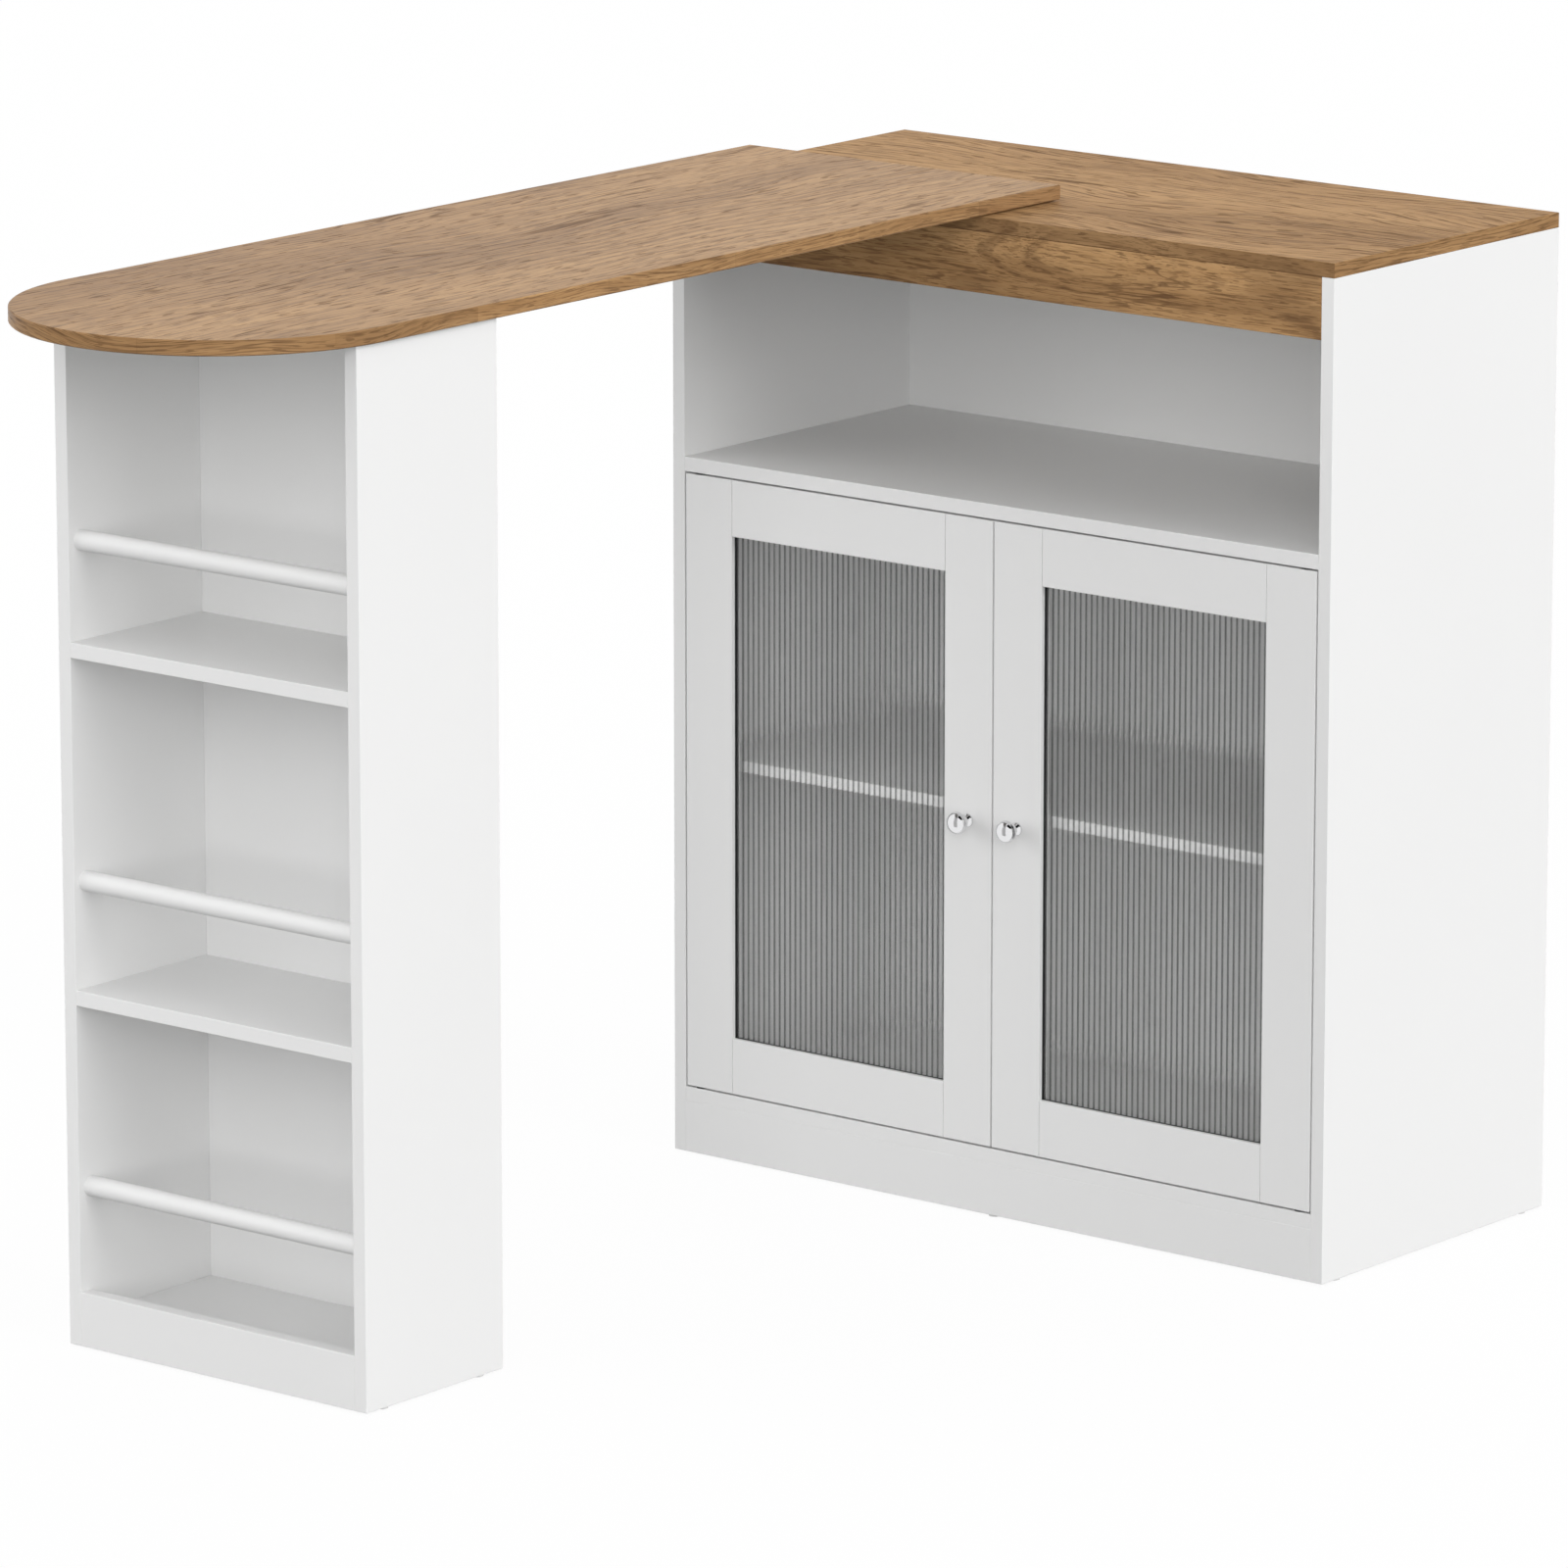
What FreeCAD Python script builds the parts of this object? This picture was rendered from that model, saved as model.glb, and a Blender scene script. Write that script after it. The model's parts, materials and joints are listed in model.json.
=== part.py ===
import FreeCAD, Part
import math
import os
from collections import defaultdict

from FreeCAD import Vector

# Rotating bar table: a storage cabinet with two glazed doors, and a long bar top that turns on a pivot
# in the cabinet's top and stands on a bottle tower at its round end.
# Frame: +Z up, floor at z = 0, +X to the right along the cabinet's front, +Y from the tabletop's round
# end to the cabinet's back. The origin is on the floor in the middle of the overall box. Millimetres.

# Whole part, from the tabletop's round end to the cabinet's back
OVERALL_LENGTH = 1481.0

# Cabinet, outside
CABINET_WIDTH = 828.0
CABINET_DEPTH = 380.0
CABINET_SIDE_TOP = 1008.0
BOARD = 15.0
TOP_BOARD = 15.0
EDGE_EASE = 0.4

# Cabinet, inside: heights above the floor, and insets from the cabinet's faces
APRON_HEIGHT = 62.0
MIDDLE_SHELF_TOP = 734.5
BOTTOM_PANEL_TOP = 71.0
BACK_BOARD = 5.0
BACK_RECESS = 4.0
BACK_GROOVE = 6.0
INNER_SHELF_BOARD = 12.0
INNER_SHELF_TOP = 420.0
INNER_SHELF_SETBACK = 26.0
INNER_SHELF_SIDE_GAP = 0.6

# Shelf pins
PIN_DIAMETER = 5.0
PIN_BITE = 9.0
PIN_PAD_LENGTH = 10.0
PIN_PAD_WIDTH = 10.0
PIN_PAD_THICKNESS = 2.5
PIN_HOLE_PITCH = 32.0
PIN_HOLES_EACH_WAY = 2
PIN_FRONT_INSET = 70.0
PIN_REAR_INSET = 60.0

# Doors
DOOR_GAP = 2.0
STILE_WIDTH = 60.0
RAIL_WIDTH = 58.5
TENON_LENGTH = 15.0
TENON_THICKNESS = 6.0
TENON_SHOULDER = 12.0
TENON_CLEARANCE = 0.1
GLASS_LIP = 5.0
GLASS_REBATE = 8.0
SEAL_THICKNESS = 3.7
GLASS_THICKNESS = 4.0
BEAD_THICKNESS = 2.3
GLASS_CLEARANCE = 0.4
REED_PITCH = 6.87
REED_HEIGHT = 1.0

# Door pivots and catches
HINGE_INSET = 15.0
HINGE_SETBACK = 7.0
HINGE_PIN_DIAMETER = 6.0
HINGE_PIN_SEAT = 16.0
HINGE_PIN_BITE = 8.0
HINGE_BUSH_WALL = 2.0
HINGE_BUSH_FLANGE = 1.2
HINGE_BUSH_FLOOR = 1.0
RUNNING_CLEARANCE = 0.05
RUNNING_GAP = 0.3
STRIKE_WIDTH = 28.0
STRIKE_HEIGHT = 12.0
STRIKE_THICKNESS = 1.0
CATCH_WIDTH = 40.0
CATCH_DEPTH = 16.0
CATCH_HEIGHT = 14.0
CATCH_GAP = 0.5

# Knobs
KNOB_HEIGHT = 407.5
KNOB_PROJECTION = 25.0
KNOB_BASE_DIAMETER = 14.0
KNOB_BASE_HEIGHT = 3.0
KNOB_NECK_DIAMETER = 7.5
KNOB_NECK_LENGTH = 8.0
KNOB_BASE_FLARE = 0.25
KNOB_HEAD_FLARE = 1 / 3
KNOB_HEAD_DIAMETER = 23.0
KNOB_DOME_HEIGHT = 7.0
KNOB_RIM_HEIGHT = 1.5
KNOB_SCREW_DIAMETER = 4.0
KNOB_SCREW_BITE = 8.0
KNOB_SCREW_HEAD_DIAMETER = 8.0
KNOB_SCREW_HEAD_HEIGHT = 2.4

# Tabletop and its pivot
TABLE_WIDTH = 400.0
TABLE_BOARD = 15.0
TABLE_OVERLAP = 123.0
TABLE_LEFT_INSET = 1.0
TABLE_GAP = 1.5
PIVOT_FROM_END = 63.0
PIVOT_DIAMETER = 12.0
PIVOT_PLATE_DIAMETER = 90.0
PIVOT_PLATE_THICKNESS = 4.0
PIVOT_BUSH_WALL = 4.0
PIVOT_BUSH_FLANGE = 8.0
PIVOT_BUSH_FLANGE_THICKNESS = 2.0
SLIP_WASHER_DIAMETER = 80.0
LOCK_NUT_SIDES = 6
LOCK_NUT_WIDTH = 19.0
LOCK_NUT_HEIGHT = 12.0
LOCK_NUT_FLANGE_DIAMETER = 27.0
LOCK_NUT_FLANGE_THICKNESS = 2.5
PIVOT_END_LENGTH = 3.0
PLATE_SCREW_CIRCLE = 66.0
PLATE_SCREW_COUNT = 4
PLATE_SCREW_DIAMETER = 4.0
PLATE_SCREW_HEAD_DIAMETER = 8.0
PLATE_SCREW_SKIN = 3.0

# Bottle tower under the tabletop's round end
TOWER_WIDTH = 381.0
TOWER_DEPTH = 198.0
TOWER_SETBACK = 172.0
TOWER_BACK_BOARD = 12.0
UPPER_SHELF_TOP = 696.0
LOWER_SHELF_TOP = 355.5
TOWER_BOTTOM_TOP = 32.5
KICKBOARD_TOP = 56.0
BAR_DIAMETER = 20.0
BAR_SETBACK = 17.0
BAR_SOCKET = 8.0
UPPER_BAR_RISE = 97.0
MIDDLE_BAR_RISE = 105.0
LOWER_BAR_RISE = 126.5

# Angle brackets between the tower's back and the tabletop
BRACKET_LEG = 32.0
BRACKET_WIDTH = 22.0
BRACKET_THICKNESS = 2.0
BRACKET_SPACING = 220.0
BRACKET_HOLE_INSET = 11.0
BRACKET_SCREW_PITCH = 12.0
BRACKET_SCREW_DIAMETER = 3.5
BRACKET_SCREW_HEAD_DIAMETER = 7.0
BRACKET_SCREW_HEAD_HEIGHT = 2.0
BRACKET_SCREW_SKIN = 4.0

# Knock-down fittings
CAM_DIAMETER = 15.0
CAM_SKIN = 3.0
CAM_SETBACK = 24.0
CAM_SLOT_WIDTH = 2.0
CAM_SLOT_DEPTH = 2.0
CAM_BOLT_STEM = 5.0
CAM_BOLT_HEAD = 7.0
CAM_BOLT_HEAD_LENGTH = 5.0
CAM_BOLT_THREAD = 6.0
DOWEL_DIAMETER = 6.0
DOWEL_REACH = 20.0
HOLE_SKIN = 4.0
FITTING_CLEARANCE = 0.05
HOLE_END_ROOM = 0.5
CABINET_CAM_INSET = 60.0
TOWER_CAM_INSET = 45.0
RAIL_FITTING_SPREAD = 12.0
TOWER_BACK_DOWELS = 4

# Glides under the panels
GLIDE_HEIGHT = 2.0
GLIDE_DIAMETER = 12.0
GLIDE_NAIL_DIAMETER = 2.0
GLIDE_NAIL_LENGTH = 10.0
GLIDE_INSET = 30.0

# Length by which a cutting tool runs past the face that it opens
OVERCUT = 1.0

# Places that follow from the sizes
LEFT = -CABINET_WIDTH / 2
RIGHT = CABINET_WIDTH / 2
INNER_LEFT = LEFT + BOARD
INNER_RIGHT = RIGHT - BOARD
BACK = OVERALL_LENGTH / 2
FRONT = BACK - CABINET_DEPTH
BACK_PANEL_FRONT = BACK - BACK_RECESS - BACK_BOARD
MIDDLE_SHELF_BOTTOM = MIDDLE_SHELF_TOP - BOARD
BOTTOM_PANEL_BOTTOM = BOTTOM_PANEL_TOP - BOARD
INNER_SHELF_BOTTOM = INNER_SHELF_TOP - INNER_SHELF_BOARD
CABINET_TOP = CABINET_SIDE_TOP + TOP_BOARD

DOOR_OUTER = INNER_LEFT + DOOR_GAP
DOOR_INNER = -DOOR_GAP / 2
DOOR_BOTTOM = BOTTOM_PANEL_TOP + DOOR_GAP
DOOR_TOP = MIDDLE_SHELF_BOTTOM - DOOR_GAP
DOOR_THICKNESS = GLASS_LIP + SEAL_THICKNESS + GLASS_THICKNESS + BEAD_THICKNESS
DOOR_BACK = FRONT + DOOR_THICKNESS
OPENING_OUTER = DOOR_OUTER + STILE_WIDTH
OPENING_INNER = DOOR_INNER - STILE_WIDTH
OPENING_BOTTOM = DOOR_BOTTOM + RAIL_WIDTH
OPENING_TOP = DOOR_TOP - RAIL_WIDTH
GLASS_FRONT = FRONT + GLASS_LIP + SEAL_THICKNESS
GLASS_BACK = GLASS_FRONT + GLASS_THICKNESS
HINGE_X = DOOR_OUTER + HINGE_INSET
HINGE_Y = FRONT + HINGE_SETBACK
MEETING_STILE_X = DOOR_INNER - STILE_WIDTH / 2

TABLE_BOTTOM = CABINET_TOP + TABLE_GAP
TABLE_TIP = -OVERALL_LENGTH / 2
TABLE_END = FRONT + TABLE_OVERLAP
TABLE_X = LEFT + TABLE_LEFT_INSET + TABLE_WIDTH / 2
PIVOT = Vector(TABLE_X, TABLE_END - PIVOT_FROM_END, 0)

TOWER_LEFT = TABLE_X - TOWER_WIDTH / 2
TOWER_RIGHT = TABLE_X + TOWER_WIDTH / 2
TOWER_INNER_LEFT = TOWER_LEFT + BOARD
TOWER_INNER_RIGHT = TOWER_RIGHT - BOARD
TOWER_FRONT = TABLE_TIP + TOWER_SETBACK
TOWER_BACK = TOWER_FRONT + TOWER_DEPTH
TOWER_BACK_FRONT = TOWER_BACK - TOWER_BACK_BOARD

EAST = Vector(1, 0, 0)
WEST = Vector(-1, 0, 0)
NORTH = Vector(0, 1, 0)
SOUTH = Vector(0, -1, 0)
UP = Vector(0, 0, 1)
DOWN = Vector(0, 0, -1)


def block(x0, x1, y0, y1, z0, z1):
    """A plain box between two corners."""
    return Part.makeBox(x1 - x0, y1 - y0, z1 - z0, Vector(x0, y0, z0))


def board(x0, x1, y0, y1, z0, z1):
    """A board with its sharp edges eased."""
    plain = block(x0, x1, y0, y1, z0, z1)
    return plain.makeChamfer(EDGE_EASE, plain.Edges)


def rod(diameter, start, direction, length):
    """A round bar from start along a unit direction."""
    return Part.makeCylinder(diameter / 2, length, start, direction)


def joined(*solids):
    """One solid from touching ones."""
    return solids[0].multiFuse(list(solids[1:])).removeSplitter()


def turned(outline, place, direction):
    """A solid of revolution from (radius, distance) corners, standing at place along direction.
    An entry of two pairs is an arc through the first pair to the second."""
    edges = []
    last = None
    for entry in outline:
        if isinstance(entry[0], tuple):
            through, end = (Vector(radius, 0, distance) for radius, distance in entry)
            edges.append(Part.Arc(last, through, end).toShape())
        else:
            end = Vector(entry[0], 0, entry[1])
            if last is not None:
                edges.append(Part.LineSegment(last, end).toShape())
        last = end
    face = Part.Face(Part.Wire(edges))
    solid = face.revolve(Vector(0, 0, 0), UP, 360)
    solid.Placement = FreeCAD.Placement(place, FreeCAD.Rotation(UP, direction))
    return solid


class Joinery:
    """The cam locks, cam bolts and dowels of one carcass, and the holes that its boards need."""

    def __init__(self):
        self.locks = []
        self.bolts = []
        self.dowels = []
        self.holes = defaultdict(list)

    def cam(self, end_board, face_board, point, into, face, face_thickness):
        """Pull the end of one board against the face of another.
        point is on the joint, in the middle of the end board's thickness. into leads into the end
        board, and face leads out of the side that the cam is turned from."""
        bite = face_thickness - HOLE_SKIN
        depth = BOARD - CAM_SKIN
        mouth = point + into * CAM_SETBACK + face * (BOARD / 2)
        head_start = CAM_SETBACK - CAM_BOLT_HEAD_LENGTH / 2
        self.bolts.append(joined(
            rod(CAM_BOLT_THREAD, point - into * bite, into, bite),
            rod(CAM_BOLT_STEM, point, into, head_start),
            rod(CAM_BOLT_HEAD, point + into * head_start, into, CAM_BOLT_HEAD_LENGTH),
        ))
        bore_length = CAM_SETBACK + CAM_BOLT_HEAD_LENGTH
        bore = rod(CAM_BOLT_HEAD + 2 * FITTING_CLEARANCE, point - into * OVERCUT, into, bore_length + OVERCUT)
        across = into.cross(face)
        slot = block(-CAM_DIAMETER, CAM_DIAMETER, -CAM_SLOT_WIDTH / 2, CAM_SLOT_WIDTH / 2, 0, CAM_SLOT_DEPTH)
        slot.Placement = FreeCAD.Placement(
            mouth - face * CAM_SLOT_DEPTH, FreeCAD.Rotation(across, face.cross(across), face, "ZXY"))
        self.locks.append(rod(CAM_DIAMETER, mouth, face * -1, depth).cut([bore, slot]))
        pocket = rod(
            CAM_DIAMETER + 2 * FITTING_CLEARANCE, mouth + face * OVERCUT, face * -1, depth + OVERCUT)
        self.holes[end_board] += [bore, pocket]
        self.holes[face_board].append(rod(
            CAM_BOLT_THREAD + 2 * FITTING_CLEARANCE,
            point + into * OVERCUT, into * -1, bite + HOLE_END_ROOM + OVERCUT))

    def dowel(self, end_board, face_board, point, into, face_thickness):
        """A wooden dowel across a joint, half in each board."""
        bite = face_thickness - HOLE_SKIN
        self.dowels.append(rod(DOWEL_DIAMETER, point - into * bite, into, bite + DOWEL_REACH))
        hole = rod(
            DOWEL_DIAMETER + 2 * FITTING_CLEARANCE, point - into * (bite + HOLE_END_ROOM), into,
            bite + DOWEL_REACH + 2 * HOLE_END_ROOM)
        self.holes[end_board].append(hole)
        self.holes[face_board].append(hole)

    def drilled(self, boards):
        """The boards with all their holes."""
        return {name: blank.cut(self.holes[name]) if self.holes[name] else blank
                for name, blank in boards.items()}


def glide(x, y, joinery, board_name):
    """A nail-on glide under a board's lower edge."""
    foot = Vector(x, y, 0)
    nail_start = Vector(x, y, GLIDE_HEIGHT)
    joinery.holes[board_name].append(rod(
        GLIDE_NAIL_DIAMETER + 2 * FITTING_CLEARANCE, nail_start - UP * OVERCUT, UP,
        GLIDE_NAIL_LENGTH + HOLE_END_ROOM + OVERCUT))
    return joined(
        rod(GLIDE_DIAMETER, foot, UP, GLIDE_HEIGHT),
        rod(GLIDE_NAIL_DIAMETER, nail_start, UP, GLIDE_NAIL_LENGTH))


def cabinet_boards():
    """The cabinet's blank boards."""
    back_groove_left = INNER_LEFT - BACK_GROOVE + FITTING_CLEARANCE
    back_groove_right = INNER_RIGHT + BACK_GROOVE - FITTING_CLEARANCE
    return {
        "cabinet_left_side": board(LEFT, INNER_LEFT, FRONT, BACK, GLIDE_HEIGHT, CABINET_SIDE_TOP),
        "cabinet_right_side": board(INNER_RIGHT, RIGHT, FRONT, BACK, GLIDE_HEIGHT, CABINET_SIDE_TOP),
        "cabinet_top": board(LEFT, RIGHT, FRONT, BACK, CABINET_SIDE_TOP, CABINET_TOP),
        "front_apron": board(
            INNER_LEFT, INNER_RIGHT, FRONT, FRONT + BOARD,
            CABINET_SIDE_TOP - APRON_HEIGHT, CABINET_SIDE_TOP),
        "middle_shelf": board(
            INNER_LEFT, INNER_RIGHT, FRONT, BACK_PANEL_FRONT, MIDDLE_SHELF_BOTTOM, MIDDLE_SHELF_TOP),
        "bottom_panel": board(
            INNER_LEFT, INNER_RIGHT, FRONT, BACK_PANEL_FRONT, BOTTOM_PANEL_BOTTOM, BOTTOM_PANEL_TOP),
        "front_plinth": board(
            INNER_LEFT, INNER_RIGHT, FRONT, FRONT + BOARD, GLIDE_HEIGHT, BOTTOM_PANEL_BOTTOM),
        "back_panel": block(
            back_groove_left, back_groove_right, BACK_PANEL_FRONT, BACK_PANEL_FRONT + BACK_BOARD,
            GLIDE_HEIGHT, CABINET_SIDE_TOP),
        "inner_shelf": board(
            INNER_LEFT + INNER_SHELF_SIDE_GAP, INNER_RIGHT - INNER_SHELF_SIDE_GAP,
            FRONT + INNER_SHELF_SETBACK, BACK_PANEL_FRONT - INNER_SHELF_SIDE_GAP,
            INNER_SHELF_BOTTOM, INNER_SHELF_TOP),
    }


def fasten_cabinet(joinery):
    """Cam locks and dowels between the cabinet's boards."""
    rear = BACK_PANEL_FRONT - CABINET_CAM_INSET
    front = FRONT + CABINET_CAM_INSET
    middle = (front + rear) / 2
    rail_y = FRONT + BOARD / 2
    sides = (("cabinet_left_side", INNER_LEFT, EAST), ("cabinet_right_side", INNER_RIGHT, WEST))
    for side, x, into in sides:
        for name, z in (
            ("middle_shelf", MIDDLE_SHELF_TOP - BOARD / 2),
            ("bottom_panel", BOTTOM_PANEL_TOP - BOARD / 2),
        ):
            for y in (front, rear):
                joinery.cam(name, side, Vector(x, y, z), into, DOWN, BOARD)
            joinery.dowel(name, side, Vector(x, middle, z), into, BOARD)
        for name, z in (
            ("front_apron", CABINET_SIDE_TOP - APRON_HEIGHT / 2),
            ("front_plinth", (GLIDE_HEIGHT + BOTTOM_PANEL_BOTTOM) / 2),
        ):
            joinery.cam(name, side, Vector(x, rail_y, z + RAIL_FITTING_SPREAD), into, NORTH, BOARD)
            joinery.dowel(name, side, Vector(x, rail_y, z - RAIL_FITTING_SPREAD), into, BOARD)
        edge_x = x - into.x * BOARD / 2
        for y in (front, rear):
            joinery.cam(side, "cabinet_top", Vector(edge_x, y, CABINET_SIDE_TOP), DOWN, into, TOP_BOARD)
        joinery.dowel(side, "cabinet_top", Vector(edge_x, middle, CABINET_SIDE_TOP), DOWN, TOP_BOARD)


def groove_for_back(joinery):
    """Grooves in the side panels that hold the back panel."""
    for side, x0, x1 in (
        ("cabinet_left_side", INNER_LEFT - BACK_GROOVE, INNER_LEFT + OVERCUT),
        ("cabinet_right_side", INNER_RIGHT - OVERCUT, INNER_RIGHT + BACK_GROOVE),
    ):
        joinery.holes[side].append(block(
            x0, x1, BACK_PANEL_FRONT, BACK_PANEL_FRONT + BACK_BOARD,
            GLIDE_HEIGHT - OVERCUT, CABINET_SIDE_TOP + OVERCUT))


def shelf_pins(joinery):
    """Four shelf pins with flat pads, and the rows of holes that let the inner shelf be moved."""
    pins = []
    pad_bottom = INNER_SHELF_BOTTOM - PIN_PAD_THICKNESS
    pin_z = INNER_SHELF_BOTTOM - PIN_DIAMETER / 2
    rows = range(-PIN_HOLES_EACH_WAY, PIN_HOLES_EACH_WAY + 1)
    sides = (("cabinet_left_side", INNER_LEFT, EAST), ("cabinet_right_side", INNER_RIGHT, WEST))
    for side, x, into in sides:
        for y in (FRONT + PIN_FRONT_INSET, BACK_PANEL_FRONT - PIN_REAR_INSET):
            start = Vector(x, y, pin_z)
            pad_end = x + into.x * PIN_PAD_LENGTH
            pad = block(
                min(x, pad_end), max(x, pad_end), y - PIN_PAD_WIDTH / 2, y + PIN_PAD_WIDTH / 2,
                pad_bottom, INNER_SHELF_BOTTOM)
            pins.append(joined(rod(PIN_DIAMETER, start - into * PIN_BITE, into, PIN_BITE + OVERCUT), pad))
            for row in rows:
                mouth = start + UP * (row * PIN_HOLE_PITCH) + into * OVERCUT
                joinery.holes[side].append(rod(
                    PIN_DIAMETER + 2 * FITTING_CLEARANCE, mouth, into * -1,
                    PIN_BITE + HOLE_END_ROOM + OVERCUT))
    return pins


def door_bushes(joinery):
    """Flanged bushes for the doors' pivot pins, let into the middle shelf and the bottom panel."""
    bore = HINGE_PIN_DIAMETER / 2 + RUNNING_CLEARANCE
    outside = bore + HINGE_BUSH_WALL
    flange = outside + HINGE_BUSH_FLANGE
    proud = DOOR_GAP - RUNNING_GAP
    depth = HINGE_PIN_BITE + HINGE_BUSH_FLOOR
    outline = [
        (bore, proud), (flange, proud), (flange, 0), (outside, 0), (outside, -depth), (0, -depth),
        (0, -HINGE_PIN_BITE - RUNNING_GAP), (bore, -HINGE_PIN_BITE - RUNNING_GAP), (bore, proud)]
    bushes = []
    for x in (HINGE_X, -HINGE_X):
        for name, z, out in (
            ("bottom_panel", BOTTOM_PANEL_TOP, UP),
            ("middle_shelf", MIDDLE_SHELF_BOTTOM, DOWN),
        ):
            seat = Vector(x, HINGE_Y, z)
            bushes.append(turned(outline, seat, out))
            joinery.holes[name].append(rod(
                2 * (outside + FITTING_CLEARANCE), seat + out * OVERCUT, out * -1,
                depth + FITTING_CLEARANCE + OVERCUT))
    return bushes


def magnetic_catches():
    """One catch behind each meeting stile, under the middle shelf."""
    catch_front = DOOR_BACK + STRIKE_THICKNESS + CATCH_GAP
    catches = []
    for x in (MEETING_STILE_X, -MEETING_STILE_X):
        catches.append(board(
            x - CATCH_WIDTH / 2, x + CATCH_WIDTH / 2, catch_front, catch_front + CATCH_DEPTH,
            MIDDLE_SHELF_BOTTOM - CATCH_HEIGHT, MIDDLE_SHELF_BOTTOM))
    return catches


def swivel_seat(joinery):
    """The bush in the cabinet's top that the table's pivot turns in, and the slip washer above it."""
    bore = PIVOT_DIAMETER / 2 + RUNNING_CLEARANCE
    outside = bore + PIVOT_BUSH_WALL
    flange = outside + PIVOT_BUSH_FLANGE
    seat = PIVOT + UP * CABINET_SIDE_TOP
    bush = turned(
        [(bore, TOP_BOARD), (outside, TOP_BOARD), (outside, 0), (flange, 0),
         (flange, -PIVOT_BUSH_FLANGE_THICKNESS), (bore, -PIVOT_BUSH_FLANGE_THICKNESS), (bore, TOP_BOARD)],
        seat, UP)
    joinery.holes["cabinet_top"].append(rod(
        2 * (outside + FITTING_CLEARANCE), seat - UP * OVERCUT, UP, TOP_BOARD + 2 * OVERCUT))
    face = PIVOT + UP * CABINET_TOP
    washer_thickness = TABLE_GAP - RUNNING_GAP
    washer = rod(SLIP_WASHER_DIAMETER, face, UP, washer_thickness).cut(
        rod(2 * (bore + RUNNING_GAP), face - UP * OVERCUT, UP, washer_thickness + 2 * OVERCUT))
    return bush, washer


def cabinet_glides(joinery):
    """Glides at the ends of the side panels and under the middle of the plinth."""
    places = [("front_plinth", 0, FRONT + BOARD / 2)]
    for name, x in (("cabinet_left_side", LEFT + BOARD / 2), ("cabinet_right_side", RIGHT - BOARD / 2)):
        places += [(name, x, FRONT + GLIDE_INSET), (name, x, BACK - GLIDE_INSET)]
    return [glide(x, y, joinery, name) for name, x, y in places]


def make_cabinet():
    """Every node of the storage cabinet."""
    joinery = Joinery()
    fasten_cabinet(joinery)
    groove_for_back(joinery)
    bush, washer = swivel_seat(joinery)
    nodes = {
        "shelf_pins": shelf_pins(joinery),
        "door_bushes": door_bushes(joinery),
        "cabinet_glides": cabinet_glides(joinery),
        "magnetic_catches": magnetic_catches(),
        "swivel_bush": [bush],
        "slip_washer": [washer],
        "cabinet_cam_locks": joinery.locks,
        "cabinet_cam_bolts": joinery.bolts,
        "cabinet_dowels": joinery.dowels,
    }
    nodes.update({name: [solid] for name, solid in joinery.drilled(cabinet_boards()).items()})
    return nodes


def door_frame():
    """Stiles and rails of the left door, tenoned together and rebated behind for the glass."""
    opening = block(
        OPENING_OUTER, OPENING_INNER, FRONT - OVERCUT, DOOR_BACK + OVERCUT, OPENING_BOTTOM, OPENING_TOP)
    rebate = block(
        OPENING_OUTER - GLASS_REBATE, OPENING_INNER + GLASS_REBATE, FRONT + GLASS_LIP, DOOR_BACK + OVERCUT,
        OPENING_BOTTOM - GLASS_REBATE, OPENING_TOP + GLASS_REBATE)
    tenon_front = FRONT + (DOOR_THICKNESS - TENON_THICKNESS) / 2
    inner_shoulder = GLASS_REBATE + TENON_SHOULDER / 2
    rails = {}
    mortises = []
    for name, z0, z1, tenon_z0, tenon_z1 in (
        ("bottom_rail", DOOR_BOTTOM, OPENING_BOTTOM,
         DOOR_BOTTOM + TENON_SHOULDER, OPENING_BOTTOM - inner_shoulder),
        ("top_rail", OPENING_TOP, DOOR_TOP,
         OPENING_TOP + inner_shoulder, DOOR_TOP - TENON_SHOULDER),
    ):
        rail = board(OPENING_OUTER, OPENING_INNER, FRONT, DOOR_BACK, z0, z1).cut(rebate)
        tenon = block(
            OPENING_OUTER - TENON_LENGTH, OPENING_INNER + TENON_LENGTH,
            tenon_front, tenon_front + TENON_THICKNESS, tenon_z0, tenon_z1)
        rails[name] = joined(rail, tenon)
        mortises.append(block(
            OPENING_OUTER - TENON_LENGTH - HOLE_END_ROOM, OPENING_INNER + TENON_LENGTH + HOLE_END_ROOM,
            tenon_front - TENON_CLEARANCE, tenon_front + TENON_THICKNESS + TENON_CLEARANCE,
            tenon_z0 - TENON_CLEARANCE, tenon_z1 + TENON_CLEARANCE))
    pin_depth = HINGE_PIN_SEAT + HOLE_END_ROOM
    pin_holes = [
        rod(HINGE_PIN_DIAMETER + 2 * FITTING_CLEARANCE, Vector(HINGE_X, HINGE_Y, z) - out * pin_depth, out,
            pin_depth + OVERCUT)
        for z, out in ((DOOR_TOP, UP), (DOOR_BOTTOM, DOWN))]
    knob_hole = rod(
        KNOB_SCREW_DIAMETER + 2 * FITTING_CLEARANCE,
        Vector(MEETING_STILE_X, FRONT - OVERCUT, KNOB_HEIGHT), NORTH, DOOR_THICKNESS + 2 * OVERCUT)
    hinge_stile = board(DOOR_OUTER, OPENING_OUTER, FRONT, DOOR_BACK, DOOR_BOTTOM, DOOR_TOP)
    meeting_stile = board(OPENING_INNER, DOOR_INNER, FRONT, DOOR_BACK, DOOR_BOTTOM, DOOR_TOP)
    return {
        "hinge_stile": hinge_stile.cut([opening, rebate, *mortises, *pin_holes]),
        "meeting_stile": meeting_stile.cut([opening, rebate, *mortises, knob_hole]),
        **rails,
    }


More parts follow.
